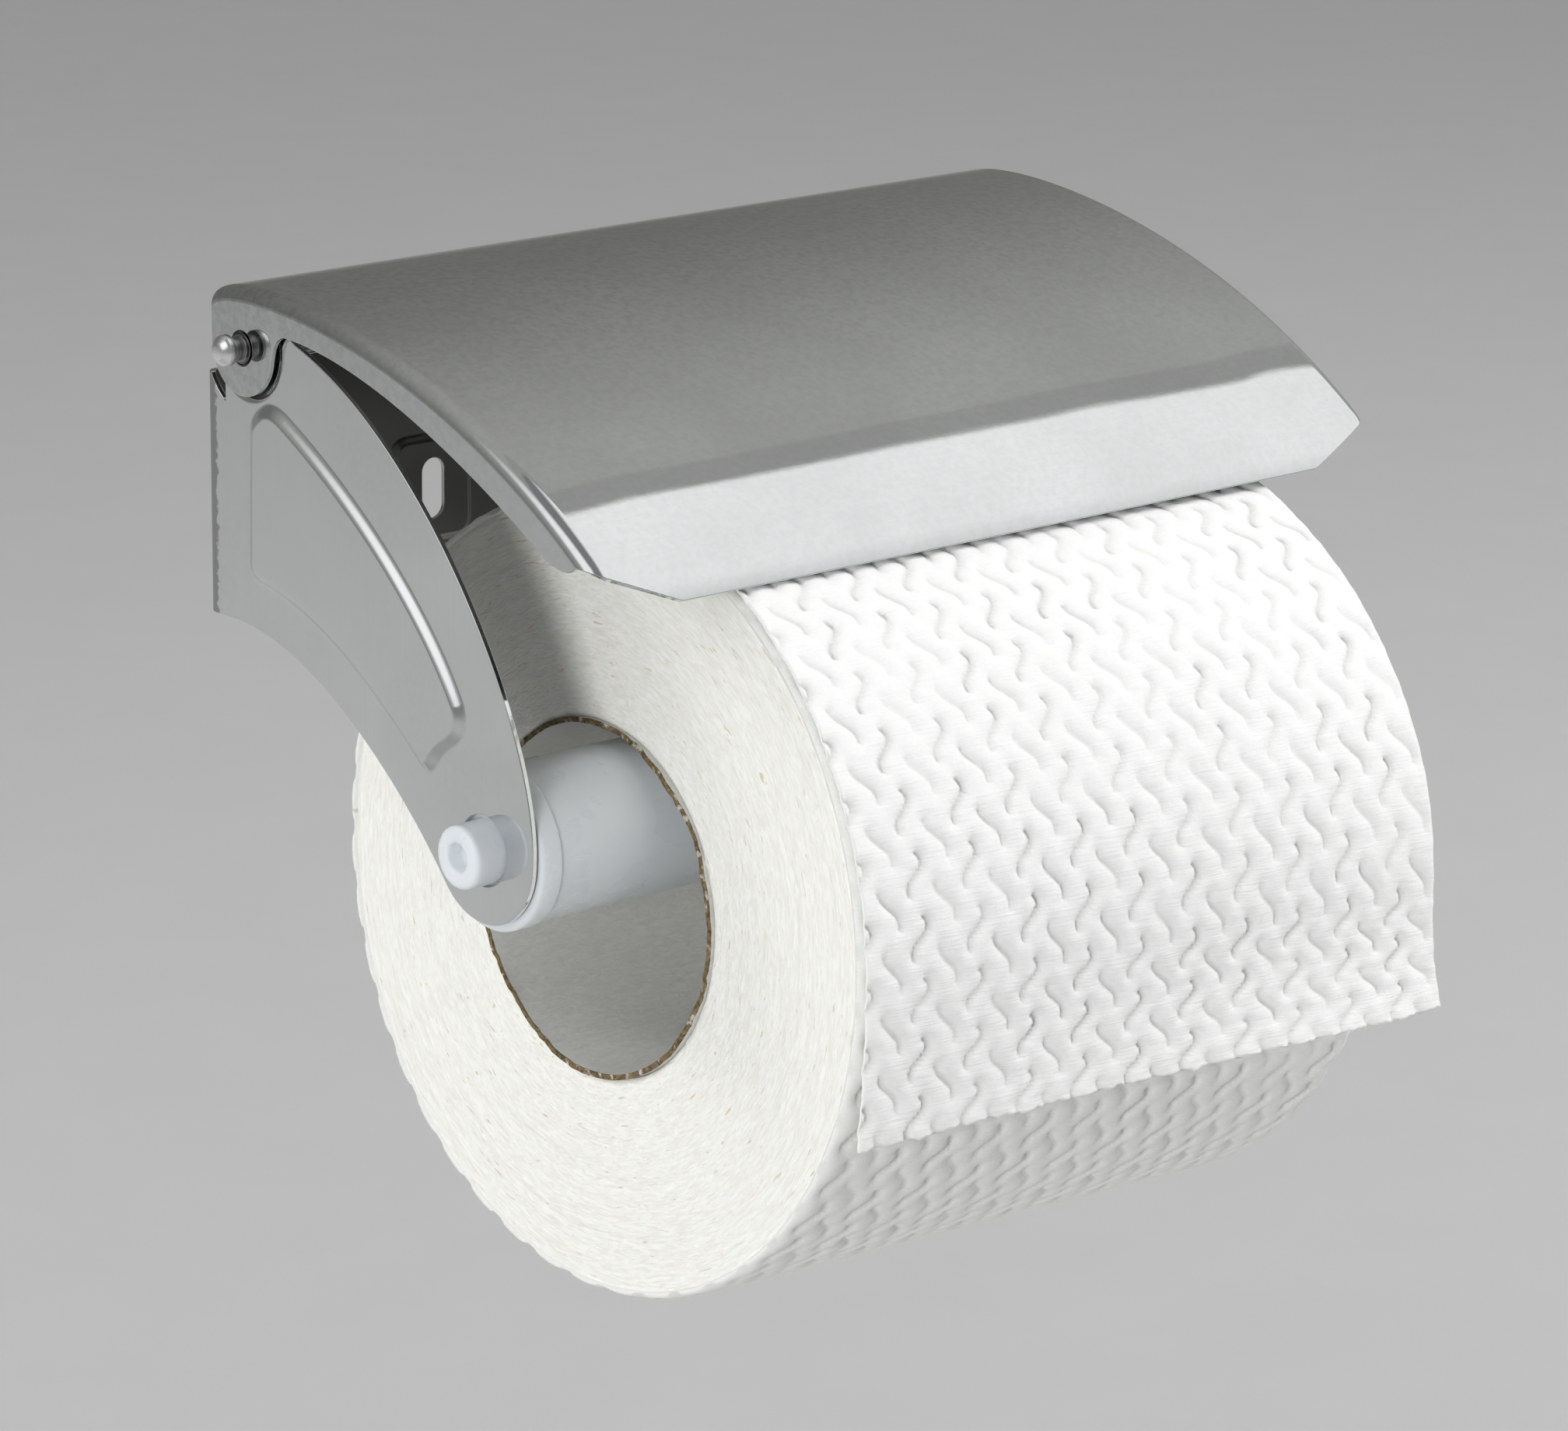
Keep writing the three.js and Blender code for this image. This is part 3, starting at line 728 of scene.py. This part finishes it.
# ---------- cover ----------
def cover_profile():
    """The cover's top from its back edge to the lip, every 0.25 mm: points, normals."""
    crown = [COVER_BACK, (-9.5, 33), (-52.5, 30.6), BROW]
    front = [BROW, (-86.9, 4.6), LIP]
    line = np.vstack([[COVER_BACK], bezier(crown, 900), bezier(front, 160)])
    step = np.linalg.norm(np.diff(line, axis=0), axis=1)
    length = np.concatenate([[0], np.cumsum(step)])
    a = np.linspace(0, length[-1], 420)
    points = np.column_stack([np.interp(a, length, line[:, k]) for k in (0, 1)])
    along = np.gradient(points, a, axis=0)
    kernel = np.hanning(15) / np.hanning(15).sum()
    padded = np.pad(along, ((7, 7), (0, 0)), mode="edge")
    along = np.column_stack([np.convolve(padded[:, k], kernel, "valid") for k in (0, 1)])
    along = unit(along)
    return a, points, np.column_stack((along[:, 1], -along[:, 0]))


PROFILE_A, PROFILE, PROFILE_NORMAL = cover_profile()
TOP_FLAT = COVER_FACE - FOLD
FLANGE_FLAT = TOP_FLAT + FOLD * math.pi / 2


def on_profile(a):
    """The cover's top at arc length a, which runs straight on behind the back edge."""
    at = np.column_stack([np.interp(a, PROFILE_A, PROFILE[:, k]) for k in (0, 1)])
    normal = unit(np.column_stack([np.interp(a, PROFILE_A, PROFILE_NORMAL[:, k]) for k in (0, 1)]))
    along = np.column_stack((-normal[:, 1], normal[:, 0]))
    past = np.where(a < 0, a, np.maximum(a - PROFILE_A[-1], 0))
    return at + along * past[:, None], normal


def cover_waviness(a, w):
    """Slight unevenness of a pressed and polished sheet."""
    edge = smooth(TOP_FLAT - np.abs(w), 0, 14)
    slow = value_noise(w / 34 + 5.2, a / 30 + 1.7, 3) * 0.11
    slow += value_noise(w / 15 + 1.4, a / 17 + 4.1, 8) * 0.018
    return slow * edge * smooth(a, 0, 12)


def cover_place(a, w):
    side = np.sign(w)
    turn = np.clip((np.abs(w) - TOP_FLAT) / FOLD, 0, math.pi / 2)
    drop = np.maximum(np.abs(w) - FLANGE_FLAT, 0)
    at, up = on_profile(a)
    normal = np.column_stack((side * np.sin(turn), up * np.cos(turn)[:, None]))
    yz = at - up * (FOLD * (1 - np.cos(turn)))[:, None]
    x = side * (np.minimum(np.abs(w), TOP_FLAT) + FOLD * np.sin(turn))
    points = np.column_stack((x, yz[:, 0], yz[:, 1] - drop))
    return points + normal * cover_waviness(a, w)[:, None], normal


def flange_curve():
    """The line where the fold ends, as arc length a, Y and Z."""
    a = np.linspace(-3, PROFILE_A[-1], 500)
    points = cover_place(a, np.full(len(a), FLANGE_FLAT))[0]
    return a, points[:, 1], points[:, 2]


FLANGE_A, FLANGE_Y, FLANGE_Z = flange_curve()


def flange_to_flat(points):
    """(Y, Z) on a flange, as (a, w) in the flat."""
    order = np.argsort(FLANGE_Y)
    a = np.interp(points[:, 0], FLANGE_Y[order], FLANGE_A[order])
    top = np.interp(points[:, 0], FLANGE_Y[order], FLANGE_Z[order])
    return np.column_stack((a, FLANGE_FLAT + top - points[:, 1]))


def corner_cut():
    """Where the cut-off corner crosses the cover, from the lip to the flange."""
    w = np.linspace(COVER_FACE - CORNER["width"], FLANGE_FLAT, 40)
    rise = (CORNER["height"] - LIP[1]) / CORNER["width"]
    a = np.linspace(PROFILE_A[-1] - 14, PROFILE_A[-1], 200)
    made = []
    for each in w:
        points = cover_place(a, np.full(len(a), each))[0]
        above = points[:, 2] - LIP[1] - rise * (points[:, 0] - COVER_FACE + CORNER["width"])
        made.append((a[np.argmin(np.abs(above))], each))
    return np.array(made)


def cover_outline():
    """The right half in the flat, from the middle of the lip round to the middle of the back."""
    cut = corner_cut()
    tip = cover_place(cut[-1:, 0], cut[-1:, 1])[0][0, 1:]
    edge = [bezier([tip, (-81.6, 4.0), (-79.2, 4.15), (-76.5, 5.2)], 14)]
    edge.append(bezier([(-76.5, 5.2), (-60, 15), (-38, 24.5), (-20.5, 25.2)], 70))
    ear = arc(HINGE, EAR, -166, 0, 40)
    edge.append(bezier([(-20.5, 25.2), (-17.4, 25.3), ear[0]], 10))
    edge.append(ear)
    flange = flange_to_flat(np.vstack(edge))
    turn = np.linspace(math.pi / 2, 0, 8)
    slope = PROFILE_NORMAL[0][0] / PROFILE_NORMAL[0][1]
    back = np.column_stack((-slope * FOLD * (1 - np.cos(turn)), TOP_FLAT + FOLD * turn))
    return np.vstack([[(PROFILE_A[-1], 0)], cut, flange, back, [(0, 0)]])


def make_cover(material):
    right = cover_outline()
    outline = closed_line(np.vstack([right, right[::-1] * (1, -1)]), 0.8)
    hole = flange_to_flat(arc(HINGE, ROD_HOLE, 0, 345, 23))
    end = PROFILE_A[-1]
    a = np.arange(-2, end, 0.6)
    top = grid_points(a, np.arange(0.9, 64, 1.5))
    side = grid_points(a, np.linspace(64.5, TOP_FLAT, 8))
    fold = grid_points(np.arange(-2, end, 0.8), np.linspace(TOP_FLAT, FLANGE_FLAT, 11)[1:])
    flange = grid_points(np.arange(-2, end, 0.9), np.arange(FLANGE_FLAT + 0.7, FLANGE_FLAT + 18, 0.9))
    inner = np.vstack([top, side, fold, flange])
    inner = np.vstack([inner, inner * (1, -1)])
    points, faces, normals, unpolished_painted_shade = pressed_sheet([outline, hole, hole * (1, -1)], inner, cover_place)
    sheet = make_object(
        "cover_sheet", points, faces, material, "cover", ["cover"], normals
    )
    # the inner face is marked for a rougher finish and for painted shade in the steel's colour
    mark(sheet, "unpolished_painted_shade", unpolished_painted_shade)


# ---------- hinge rod, roller, spring ----------
def make_rod(material):
    low, high = ROD
    half, radius = high[0], (high[2] - low[2]) / 2
    end = [(half, 0), (half - 0.05, 1.1, 0.9), (half - 0.9, radius, 0.8), (half - 2.1, radius)]
    end += [(half - 2.25, 1.65), (half - 4.0, 1.65), (half - 4.1, radius), (half - 5.5, radius)]
    profile = rounded(end + [(-x, *rest) for x, *rest in end[::-1]], 0.12)
    points, faces = turned(profile, (0, *HINGE), 64)
    rod = make_object("hinge_rod_turned", points, faces, material, "bracket", ["hinge_rod"])
    sharpen(rod, 40)


def stub_profile(half, shoulder, body):
    """A stub and the end face behind it, from the bottom of its dimple out to the roller's body."""
    return [
        (half - 2.6, 0),
        (half - 2.6, 1.75, 0.5),
        (half, 2.0, 0.5),
        (half, 4.45, 0.9),
        (shoulder + 0.2, 4.45, 0.4),
        (shoulder, body, 0.7),
    ]


def make_roller(material):
    low, high = box("roller_wide_half")
    half, end, body = -low[0], high[0], (high[2] - low[2]) / 2
    shoulder, wall, bore, step = 70.2, 2.4, 9.6, 0.35
    slider, slider_bore = 9.3, 8.1
    profile = [(-x, *rest) for x, *rest in stub_profile(half, shoulder, body)]
    profile += [(-shoulder + 3.4, body, 0.3), (-shoulder + 3.6, body - step, 0.2)]
    profile += [(end, body - step, 0.3), (end, bore, 0.2)]
    profile += [(-shoulder + wall, bore, 0.8), (-shoulder + wall, 0)]
    points, faces = turned(rounded(profile, 0.3), ROLLER, 128)
    wide = make_object(
        "roller_wide", points, faces, material, "roller_wide", ["roller_wide_half"]
    )
    sharpen(wide, 40)

    low, high = box("roller_narrow_half")
    profile = stub_profile(high[0], shoulder, body)
    profile += [(shoulder - 4, body, 0.3), (shoulder - 4.1, slider, 0.2), (low[0], slider, 0.3)]
    profile += [(low[0], slider_bore, 0.2), (shoulder - wall, slider_bore, 0.6), (shoulder - wall, 0)]
    points, faces = turned(rounded(profile, 0.3), ROLLER, 128)
    narrow = make_object(
        "roller_narrow", points, faces, material, "roller_narrow", ["roller_narrow_half"]
    )
    sharpen(narrow, 40)


def make_spring(material):
    low, high = box("roller_spring")
    wire, turns, per_turn, ring = 0.45, 14, 36, 10
    radius = (high[2] - low[2]) / 2 - wire
    t = np.linspace(0, 1, turns * per_turn + 1)
    angle = 2 * math.pi * turns * t
    x = low[0] + wire + (high[0] - low[0] - 2 * wire) * t
    centre = around_x(x, radius, angle)
    out = around_x(0, 1, angle)
    side = unit(np.cross(np.gradient(centre, axis=0), out))
    around = full_turn(ring)
    rings = out[:, None] * np.cos(around)[:, None] + side[:, None] * np.sin(around)[:, None]
    points = (centre[:, None] + wire * rings).reshape(-1, 3) + ROLLER
    faces = grid_faces(len(t), ring, wrap_columns=True)
    faces += [list(range(ring)), list(range(len(points) - ring, len(points)))]
    spring = make_object(
        "roller_spring_coil", points, faces, material, "roller_wide", ["roller_spring"]
    )
    sharpen(spring, 50)
    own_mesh(spring)


# ---------- paper ----------
PITCH = np.array((9.2, 8.3))  # across and along the paper
UPRIGHT = ((0.7, -2.65), (1.3, -2.1), (1.25, -1.1), (0.3, 0.1), (-0.9, 1.1), (-1.45, 1.9), (-1.35, 2.6))
SLANTED = ((-1.45, -2.5), (-1.35, -1.8), (-0.7, -1.0), (0.3, -0.1), (1.2, 0.8), (1.5, 1.6), (1.45, 2.5))
MOTIFS = ((UPRIGHT, (0.0, 0.0), 1.1), (SLANTED, (0.47, 0.5), 0.8))  # line, place in the cell, depth


def line_distance(x, y, line):
    near = np.full(x.shape, 9.0)
    for (ax, ay), (bx, by) in zip(line[:-1], line[1:]):
        dx, dy = bx - ax, by - ay
        t = np.clip(((x - ax) * dx + (y - ay) * dy) / (dx * dx + dy * dy), 0, 1)
        near = np.minimum(near, np.hypot(x - ax - t * dx, y - ay - t * dy))
    return near


def emboss(u, v):
    """How deeply the paper is pressed in at (u, v), and how far the nearest mark is."""
    pressed, nearest = np.zeros(u.shape), np.full(u.shape, 9.0)
    for line, shift, depth in MOTIFS:
        cell_u, cell_v = u / PITCH[0] - shift[0], v / PITCH[1] - shift[1]
        for i in (0, 1):
            for j in (0, 1):
                x = (cell_u - np.floor(cell_u) - i) * PITCH[0]
                y = (cell_v - np.floor(cell_v) - j) * PITCH[1]
                near = line_distance(x, y, line)
                pressed = np.maximum(pressed, depth * (1 - smooth(near, 0.1, 0.8)))
                nearest = np.minimum(nearest, near)
    return pressed, nearest


def paper_relief(u, v, depth):
    """Height of the embossed face: pressed marks between soft pillows."""
    pressed, far = emboss(u, v)
    uneven = 1 + 0.35 * value_noise(u / 7, v / 6, 5)
    pillow = 0.45 * smooth(far, 0.4, 2.6)
    crinkle = 0.05 * value_noise(u / 2.1, v / 0.9, 6) + 0.03 * value_noise(u / 0.9, v / 0.9, 9)
    return depth * (pillow - pressed * uneven) + crinkle, pressed * uneven


def to_row(local):
    """Points in the roll's own frame, in the row frame."""
    return local @ ROLL_FRAME + ROLL


def make_outer_wrap(material):
    """The roll's last wrap, embossed."""
    rows, columns = 160, 590
    x = np.linspace(-ROLL_HALF_WIDTH, ROLL_HALF_WIDTH, rows)
    t = full_turn(columns)
    xx, tt = np.meshgrid(x, t, indexing="ij")
    repeats = round(2 * math.pi * ROLL_RADIUS / PITCH[1])
    v = tt / (2 * math.pi) * repeats * PITCH[1]
    seam = smooth(v, 0, 2) * smooth(repeats * PITCH[1] - v, 0, 2)
    relief, pressed = paper_relief(xx, v, 0.45)
    radius = ROLL_RADIUS - 0.45 + relief * seam
    radius -= 0.5 * smooth(np.abs(xx), ROLL_HALF_WIDTH - 1.2, ROLL_HALF_WIDTH)
    outer = around_x(xx, radius, tt).reshape(-1, 3)
    inner_radius = ROLL_RADIUS - 1.5
    ends = [(ROLL_HALF_WIDTH, inner_radius), (-ROLL_HALF_WIDTH, inner_radius)]
    rings = [around_x(x, r, t) for x, r in ends]
    points = np.vstack([outer, *rings])
    faces = grid_faces(rows + 2, columns, wrap_rows=True, wrap_columns=True)
    uv = np.vstack([
        np.column_stack((xx.ravel(), v.ravel())),
        *[np.column_stack((np.full(columns, x), v[0])) for x, _ in ends],
    ])
    wrap = make_object(
        "paper_roll_last_wrap", to_row(points), faces, material, "roll", ["paper_roll"],
        uv=uv * MM,
    )
    # the tissue material darkens the paper by this depth, as painted shade in the grooves
    mark(wrap, "pressed", np.concatenate([pressed.ravel(), np.zeros(2 * columns)]))


def make_wound_paper(material):
    """The wound layers, seen on the roll's two faces."""
    columns, rows = 560, 60
    inner, outer = CORE["outer"] + 0.15, ROLL_RADIUS - 1.3
    t = full_turn(columns)
    r = np.linspace(inner, outer, rows)
    rr, tt = np.meshgrid(r, t, indexing="ij")
    round_it = tt / (2 * math.pi)

    def ripple(seed, across, turns):
        wrapped = value_noise(rr * across, round_it * turns, seed)
        start = value_noise(rr * across, 0 * round_it, seed)
        last = value_noise(rr * across, 0 * round_it + turns, seed)
        return wrapped + (start - last) * round_it

    sides = []
    for side in (-1, 1):
        push = 0.10 * ripple(11 + side, 1.3, 44) + 0.12 * ripple(21 + side, 0.22, 9)
        push += 0.07 * ripple(31 + side, 2.4, 120)
        rounding = 0.3 * smooth(rr, outer - 1.6, outer) ** 2 + 0.5 * smooth(-rr, -inner - 1.2, -inner) ** 2
        x = side * (ROLL_HALF_WIDTH - 0.25 - rounding) + push * 0.8
        sides.append(around_x(x, rr, tt))
    points = np.vstack([sides[0].reshape(-1, 3), sides[1][::-1].reshape(-1, 3)])
    faces = grid_faces(2 * rows, columns, wrap_rows=True, wrap_columns=True)
    wound_paper = make_object(
        "paper_roll_wound", to_row(points), faces, material, "roll", ["paper_roll"]
    )
    ring = np.stack((rr, 40 * np.cos(tt), 40 * np.sin(tt)), -1)
    place = np.vstack([ring.reshape(-1, 3), ring[::-1].reshape(-1, 3) + (90, 0, 0)])
    layers = wound_paper.data.attributes.new("layers", "FLOAT_VECTOR", "POINT")
    layers.data.foreach_set("vector", (place * MM).astype(np.float32).ravel())
    sharpen(wound_paper, 60)


def make_core(material):
    """The cardboard tube, with torn and crushed ends."""
    columns = 420
    t = full_turn(columns)
    turn = t / (2 * math.pi)

    def ragged(seed, turns):
        wave = value_noise(turn * turns, 0 * turn, seed)
        return wave + (wave[0] - value_noise(0 * turn + turns, 0 * turn, seed)) * turn

    half = ROLL_HALF_WIDTH
    stations = ((-half, 1), (-half + 0.3, 0.7), (-half + 2, 0.3), (0, 0))
    stations += tuple((-x, loose) for x, loose in stations[-2::-1])
    rings = []
    for x, loose in stations:
        wobble = loose * (0.20 * ragged(3, 17) + 0.07 * ragged(4, 61))
        end = loose * (0.16 * ragged(5, 139) + 0.26 * ragged(6, 29)) * (abs(x) > half - 1)
        rings.append((x - 0.35 * np.sign(x) * loose + end, wobble))
    count = len(stations)
    order = [(k, CORE["inner"]) for k in range(count)]
    order += [(k, CORE["outer"] + 0.05) for k in reversed(range(count))]
    points = []
    for k, radius in order:
        x, wobble = rings[k]
        r = radius + np.clip(wobble, -0.25, 0.15)
        points.append(around_x(x, r, t))
    faces = grid_faces(len(order), columns, wrap_rows=True, wrap_columns=True)
    core = make_object(
        "core_tube", to_row(np.vstack(points)), faces, material, "roll", ["paper_core"]
    )
    mark(core, "cut_end", np.repeat([1.0 * (stations[k][1] == 1) for k, _ in order], columns))
    sharpen(core, 50)


TAIL = {
    "start": 75, "loose_from": 95, "stand": 7.5, "hang": (21.2, 15.8), "sway": (-0.8, 3.0), "ply": 0.28,
    "gap": 0.3,
}


def tail_point(across, along, height):
    """A point of the loose sheet in the roll's frame: across from 0 to 1, along in mm, height above it."""
    radius = ROLL_RADIUS + TAIL["gap"]
    start = math.radians(TAIL["start"])
    wrapped = radius * (math.pi - start)
    longest = max(TAIL["hang"])
    free = np.maximum(along - wrapped, 0) / longest
    angle = np.minimum(start + along / radius, math.pi)
    loose = smooth(angle, math.radians(TAIL["loose_from"]), math.pi)
    wave = 0.35 * np.sin(across * 9.5 + 0.6) * free + 0.5 * value_noise(across * 3.1, along / 38, 17) * loose
    lying = 0.25 * (1 - smooth(along, 0, 8))
    reach = radius + height - lying + TAIL["stand"] * across * loose + wave * 0.6
    sway = (TAIL["sway"][0] + (TAIL["sway"][1] - TAIL["sway"][0]) * across) * free**2
    hang = (TAIL["hang"][0] + (TAIL["hang"][1] - TAIL["hang"][0]) * across) * free
    x = across * 2 * ROLL_HALF_WIDTH - ROLL_HALF_WIDTH
    return np.stack((x, reach * np.cos(angle) - sway, reach * np.sin(angle) - hang), -1)


def make_tail(material):
    columns, rows = 186, 226
    wrapped = (ROLL_RADIUS + TAIL["gap"]) * (math.pi - math.radians(TAIL["start"]))
    length = wrapped + max(TAIL["hang"])
    across, down = np.meshgrid(np.linspace(0, 1, columns), np.linspace(0, 1, rows))
    width = 2 * ROLL_HALF_WIDTH
    u, along = across * width, down * length
    torn = 0.2 * value_noise(u / 1.1, 0 * u, 41) + 0.25 * value_noise(u / 5.5, 0 * u, 42)
    torn += 0.22 * value_noise(u / 0.6, 0 * u, 43)
    along = along + (torn - 0.4) * smooth(down, 0.985, 1.0)
    side_wave = 0.0012 * value_noise(along / 9, 0 * u, 44) * (np.abs(across - 0.5) > 0.499)
    relief, pressed = paper_relief(u, along + 3.1, 0.5)
    crease = 0.16 * np.exp(-(((u - 0.27 * width) / 0.5) ** 2)) * smooth(along, 60, 90)
    face = tail_point(across + side_wave, along, TAIL["ply"] + 0.12 + relief + crease)
    back = tail_point(across + side_wave, along, 0.05 + relief * 0.6 + crease)
    points = np.vstack([face.reshape(-1, 3), back.reshape(-1, 3)])
    count = rows * columns
    faces = grid_faces(rows, columns) + grid_faces(rows, columns, offset=count)
    rim = list(range(columns))
    rim += [i * columns + columns - 1 for i in range(1, rows)]
    rim += [(rows - 1) * columns + j for j in range(columns - 2, -1, -1)]
    rim += [i * columns for i in range(rows - 2, 0, -1)]
    after = rim[1:] + rim[:1]
    faces += [[a, b, b + count, a + count] for a, b in zip(rim, after)]
    flat = np.column_stack((u.ravel(), along.ravel()))
    tail = make_object(
        "loose_sheet", to_row(points), faces, material, "bracket", ["paper_tail"],
        uv=np.vstack([flat, flat]) * MM,
    )
    # the tissue material darkens the paper by this depth, as painted shade in the grooves
    mark(tail, "pressed", np.tile(pressed.ravel(), 2))


# ---------- stage ----------
def make_floor():
    n = Nodes("floor_paint")
    fine = n.noise(30, detail=3)
    shade = n.mix(n.spread(fine, 0.3, 0.7), (0.475, 0.475, 0.475), (0.485, 0.485, 0.485))
    n.set(Base_Color=shade, Roughness=0.9)
    mesh = bpy.data.meshes.new("floor")
    size, level = 6.0, CAD_BOUNDS[0][2] - 0.16  # metres
    corners = [(-size, -size, level), (size, -size, level), (size, size, level), (-size, size, level)]
    mesh.from_pydata(corners, [], [(0, 1, 2, 3)])
    mesh.materials.append(n.material)
    floor = bpy.data.objects.new("floor", mesh)
    bpy.context.scene.collection.objects.link(floor)


def make_light(name, at, towards, size, power, spread=180):
    data = bpy.data.lights.new(name, "AREA")
    data.shape = "DISK"
    data.size = size
    data.energy = power
    data.spread = math.radians(spread)
    light = bpy.data.objects.new(name, data)
    light.location = at
    light.rotation_euler = (Vector(towards) - Vector(at)).to_track_quat("-Z", "Y").to_euler()
    light.visible_glossy = False
    light.visible_camera = False
    bpy.context.scene.collection.objects.link(light)


def make_world():
    """Soft light from all round, darker behind and to the right, where the wall would be."""
    world = bpy.data.worlds.new("studio")
    bpy.context.scene.world = world
    world.use_nodes = True
    tree = world.node_tree
    place = tree.nodes.new("ShaderNodeTexCoord")
    split = tree.nodes.new("ShaderNodeSeparateXYZ")
    tree.links.new(place.outputs["Generated"], split.inputs[0])

    def spread(value, low, high):
        node = tree.nodes.new("ShaderNodeMapRange")
        node.interpolation_type = "SMOOTHSTEP"
        tree.links.new(value, node.inputs["Value"])
        node.inputs["From Min"].default_value = low
        node.inputs["From Max"].default_value = high
        return node.outputs["Result"]

    def times(a, b):
        node = tree.nodes.new("ShaderNodeMath")
        node.operation = "MULTIPLY"
        tree.links.new(a, node.inputs[0])
        tree.links.new(b, node.inputs[1])
        return node.outputs[0]

    def towards(x, y, z):
        node = tree.nodes.new("ShaderNodeVectorMath")
        node.operation = "DOT_PRODUCT"
        tree.links.new(place.outputs["Generated"], node.inputs[0])
        node.inputs[1].default_value = (x, y, z)
        return node.outputs["Value"]

    def mix(factor, a, b):
        node = tree.nodes.new("ShaderNodeMix")
        node.data_type = "RGBA"
        tree.links.new(factor, node.inputs["Factor"])
        for socket, colour in ((node.inputs[6], a), (node.inputs[7], b)):
            if isinstance(colour, tuple):
                socket.default_value = (*colour, 1)
            else:
                tree.links.new(colour, socket)
        return node.outputs[2]

    soft_box = spread(towards(0.68, -0.25, 0.69), 0.74, 0.93)
    front = mix(soft_box, (0.25, 0.255, 0.26), (1.10, 1.11, 1.11))
    wall = mix(spread(split.outputs["Y"], 0.2, 0.85), (0.44, 0.445, 0.43), (0.17, 0.173, 0.163))
    wall = mix(spread(split.outputs["Y"], 0.165, 0.175), (0.385, 0.39, 0.38), wall)
    behind = times(spread(split.outputs["Y"], 0.095, 0.115), spread(split.outputs["Z"], -0.02, 0.1))
    side_box = spread(towards(-0.82, -0.08, 0.56), 0.86, 0.965)
    colour = mix(side_box, mix(behind, front, wall), (1.15, 1.16, 1.17))
    tree.links.new(colour, tree.nodes["Background"].inputs["Color"])


def make_camera():
    """A long lens from the left and a little above, at the photo's angle."""
    yaw, pitch, roll = np.radians((-41.51, 15.79, 0.67)).tolist()
    back = Vector((math.sin(yaw) * math.cos(pitch), -math.cos(yaw) * math.cos(pitch), math.sin(pitch)))
    right = (-back).cross(Vector((0, 0, 1))).normalized()
    up = right.cross(-back)
    turned_right = right * math.cos(roll) + up * math.sin(roll)
    turned_up = up * math.cos(roll) - right * math.sin(roll)
    data = bpy.data.cameras.new("camera")
    data.sensor_width = 36
    data.lens = 135.7143
    camera = bpy.data.objects.new("camera", data)
    rotation = Matrix((turned_right, turned_up, back)).transposed()
    camera.matrix_world = Matrix.Translation((-0.5433, -0.6555, 0.1955)) @ rotation.to_4x4()
    bpy.context.scene.collection.objects.link(camera)
    bpy.context.scene.camera = camera


def main():
    make_camera()
    make_world()
    make_floor()
    make_light("key", (1.25, -0.62, 1.05), (0, -0.05, 0), 0.7, 20)
    make_light("fill", (-1.9, -1.02, 0.18), (0, -0.05, 0), 0.7, 1.85, spread=50)
    make_light("back", (-0.9, 1.1, 1.1), (-0.7, 0.7, -0.16), 0.9, 3.9)
    make_light("back_low", (-0.62, 0.62, 0.5), (-0.42, 0.4, -0.125), 0.3, 1.9)
    bpy.context.scene.view_settings.view_transform = "Standard"

    arm_grain, arm_tint = (2600, 2600, 45), (0.79, 0.80, 0.80)
    # the bracket's bend, from 2.6 mm in front of the wall backwards, gets painted shade as well as a rougher
    # finish
    make_bracket(polished_steel("bracket_steel", arm_grain, arm_tint, dull_shade_from=-0.0026, wear=0.95))
    make_cover(polished_steel("cover_steel", (240, 1700, 1700)))
    make_rod(turned_steel())
    make_roller(white_plastic())
    make_spring(spring_steel())
    # each tissue's last colour is the painted shade in its pressed grooves
    make_outer_wrap(tissue("roll_tissue", (0.90, 0.90, 0.88), (0.84, 0.84, 0.81), (0.70, 0.71, 0.67)))
    make_wound_paper(wound_edge())
    make_core(cardboard())
    make_tail(tissue("sheet_tissue", (0.965, 0.965, 0.95), (0.92, 0.92, 0.90), (0.82, 0.82, 0.80)))


main()
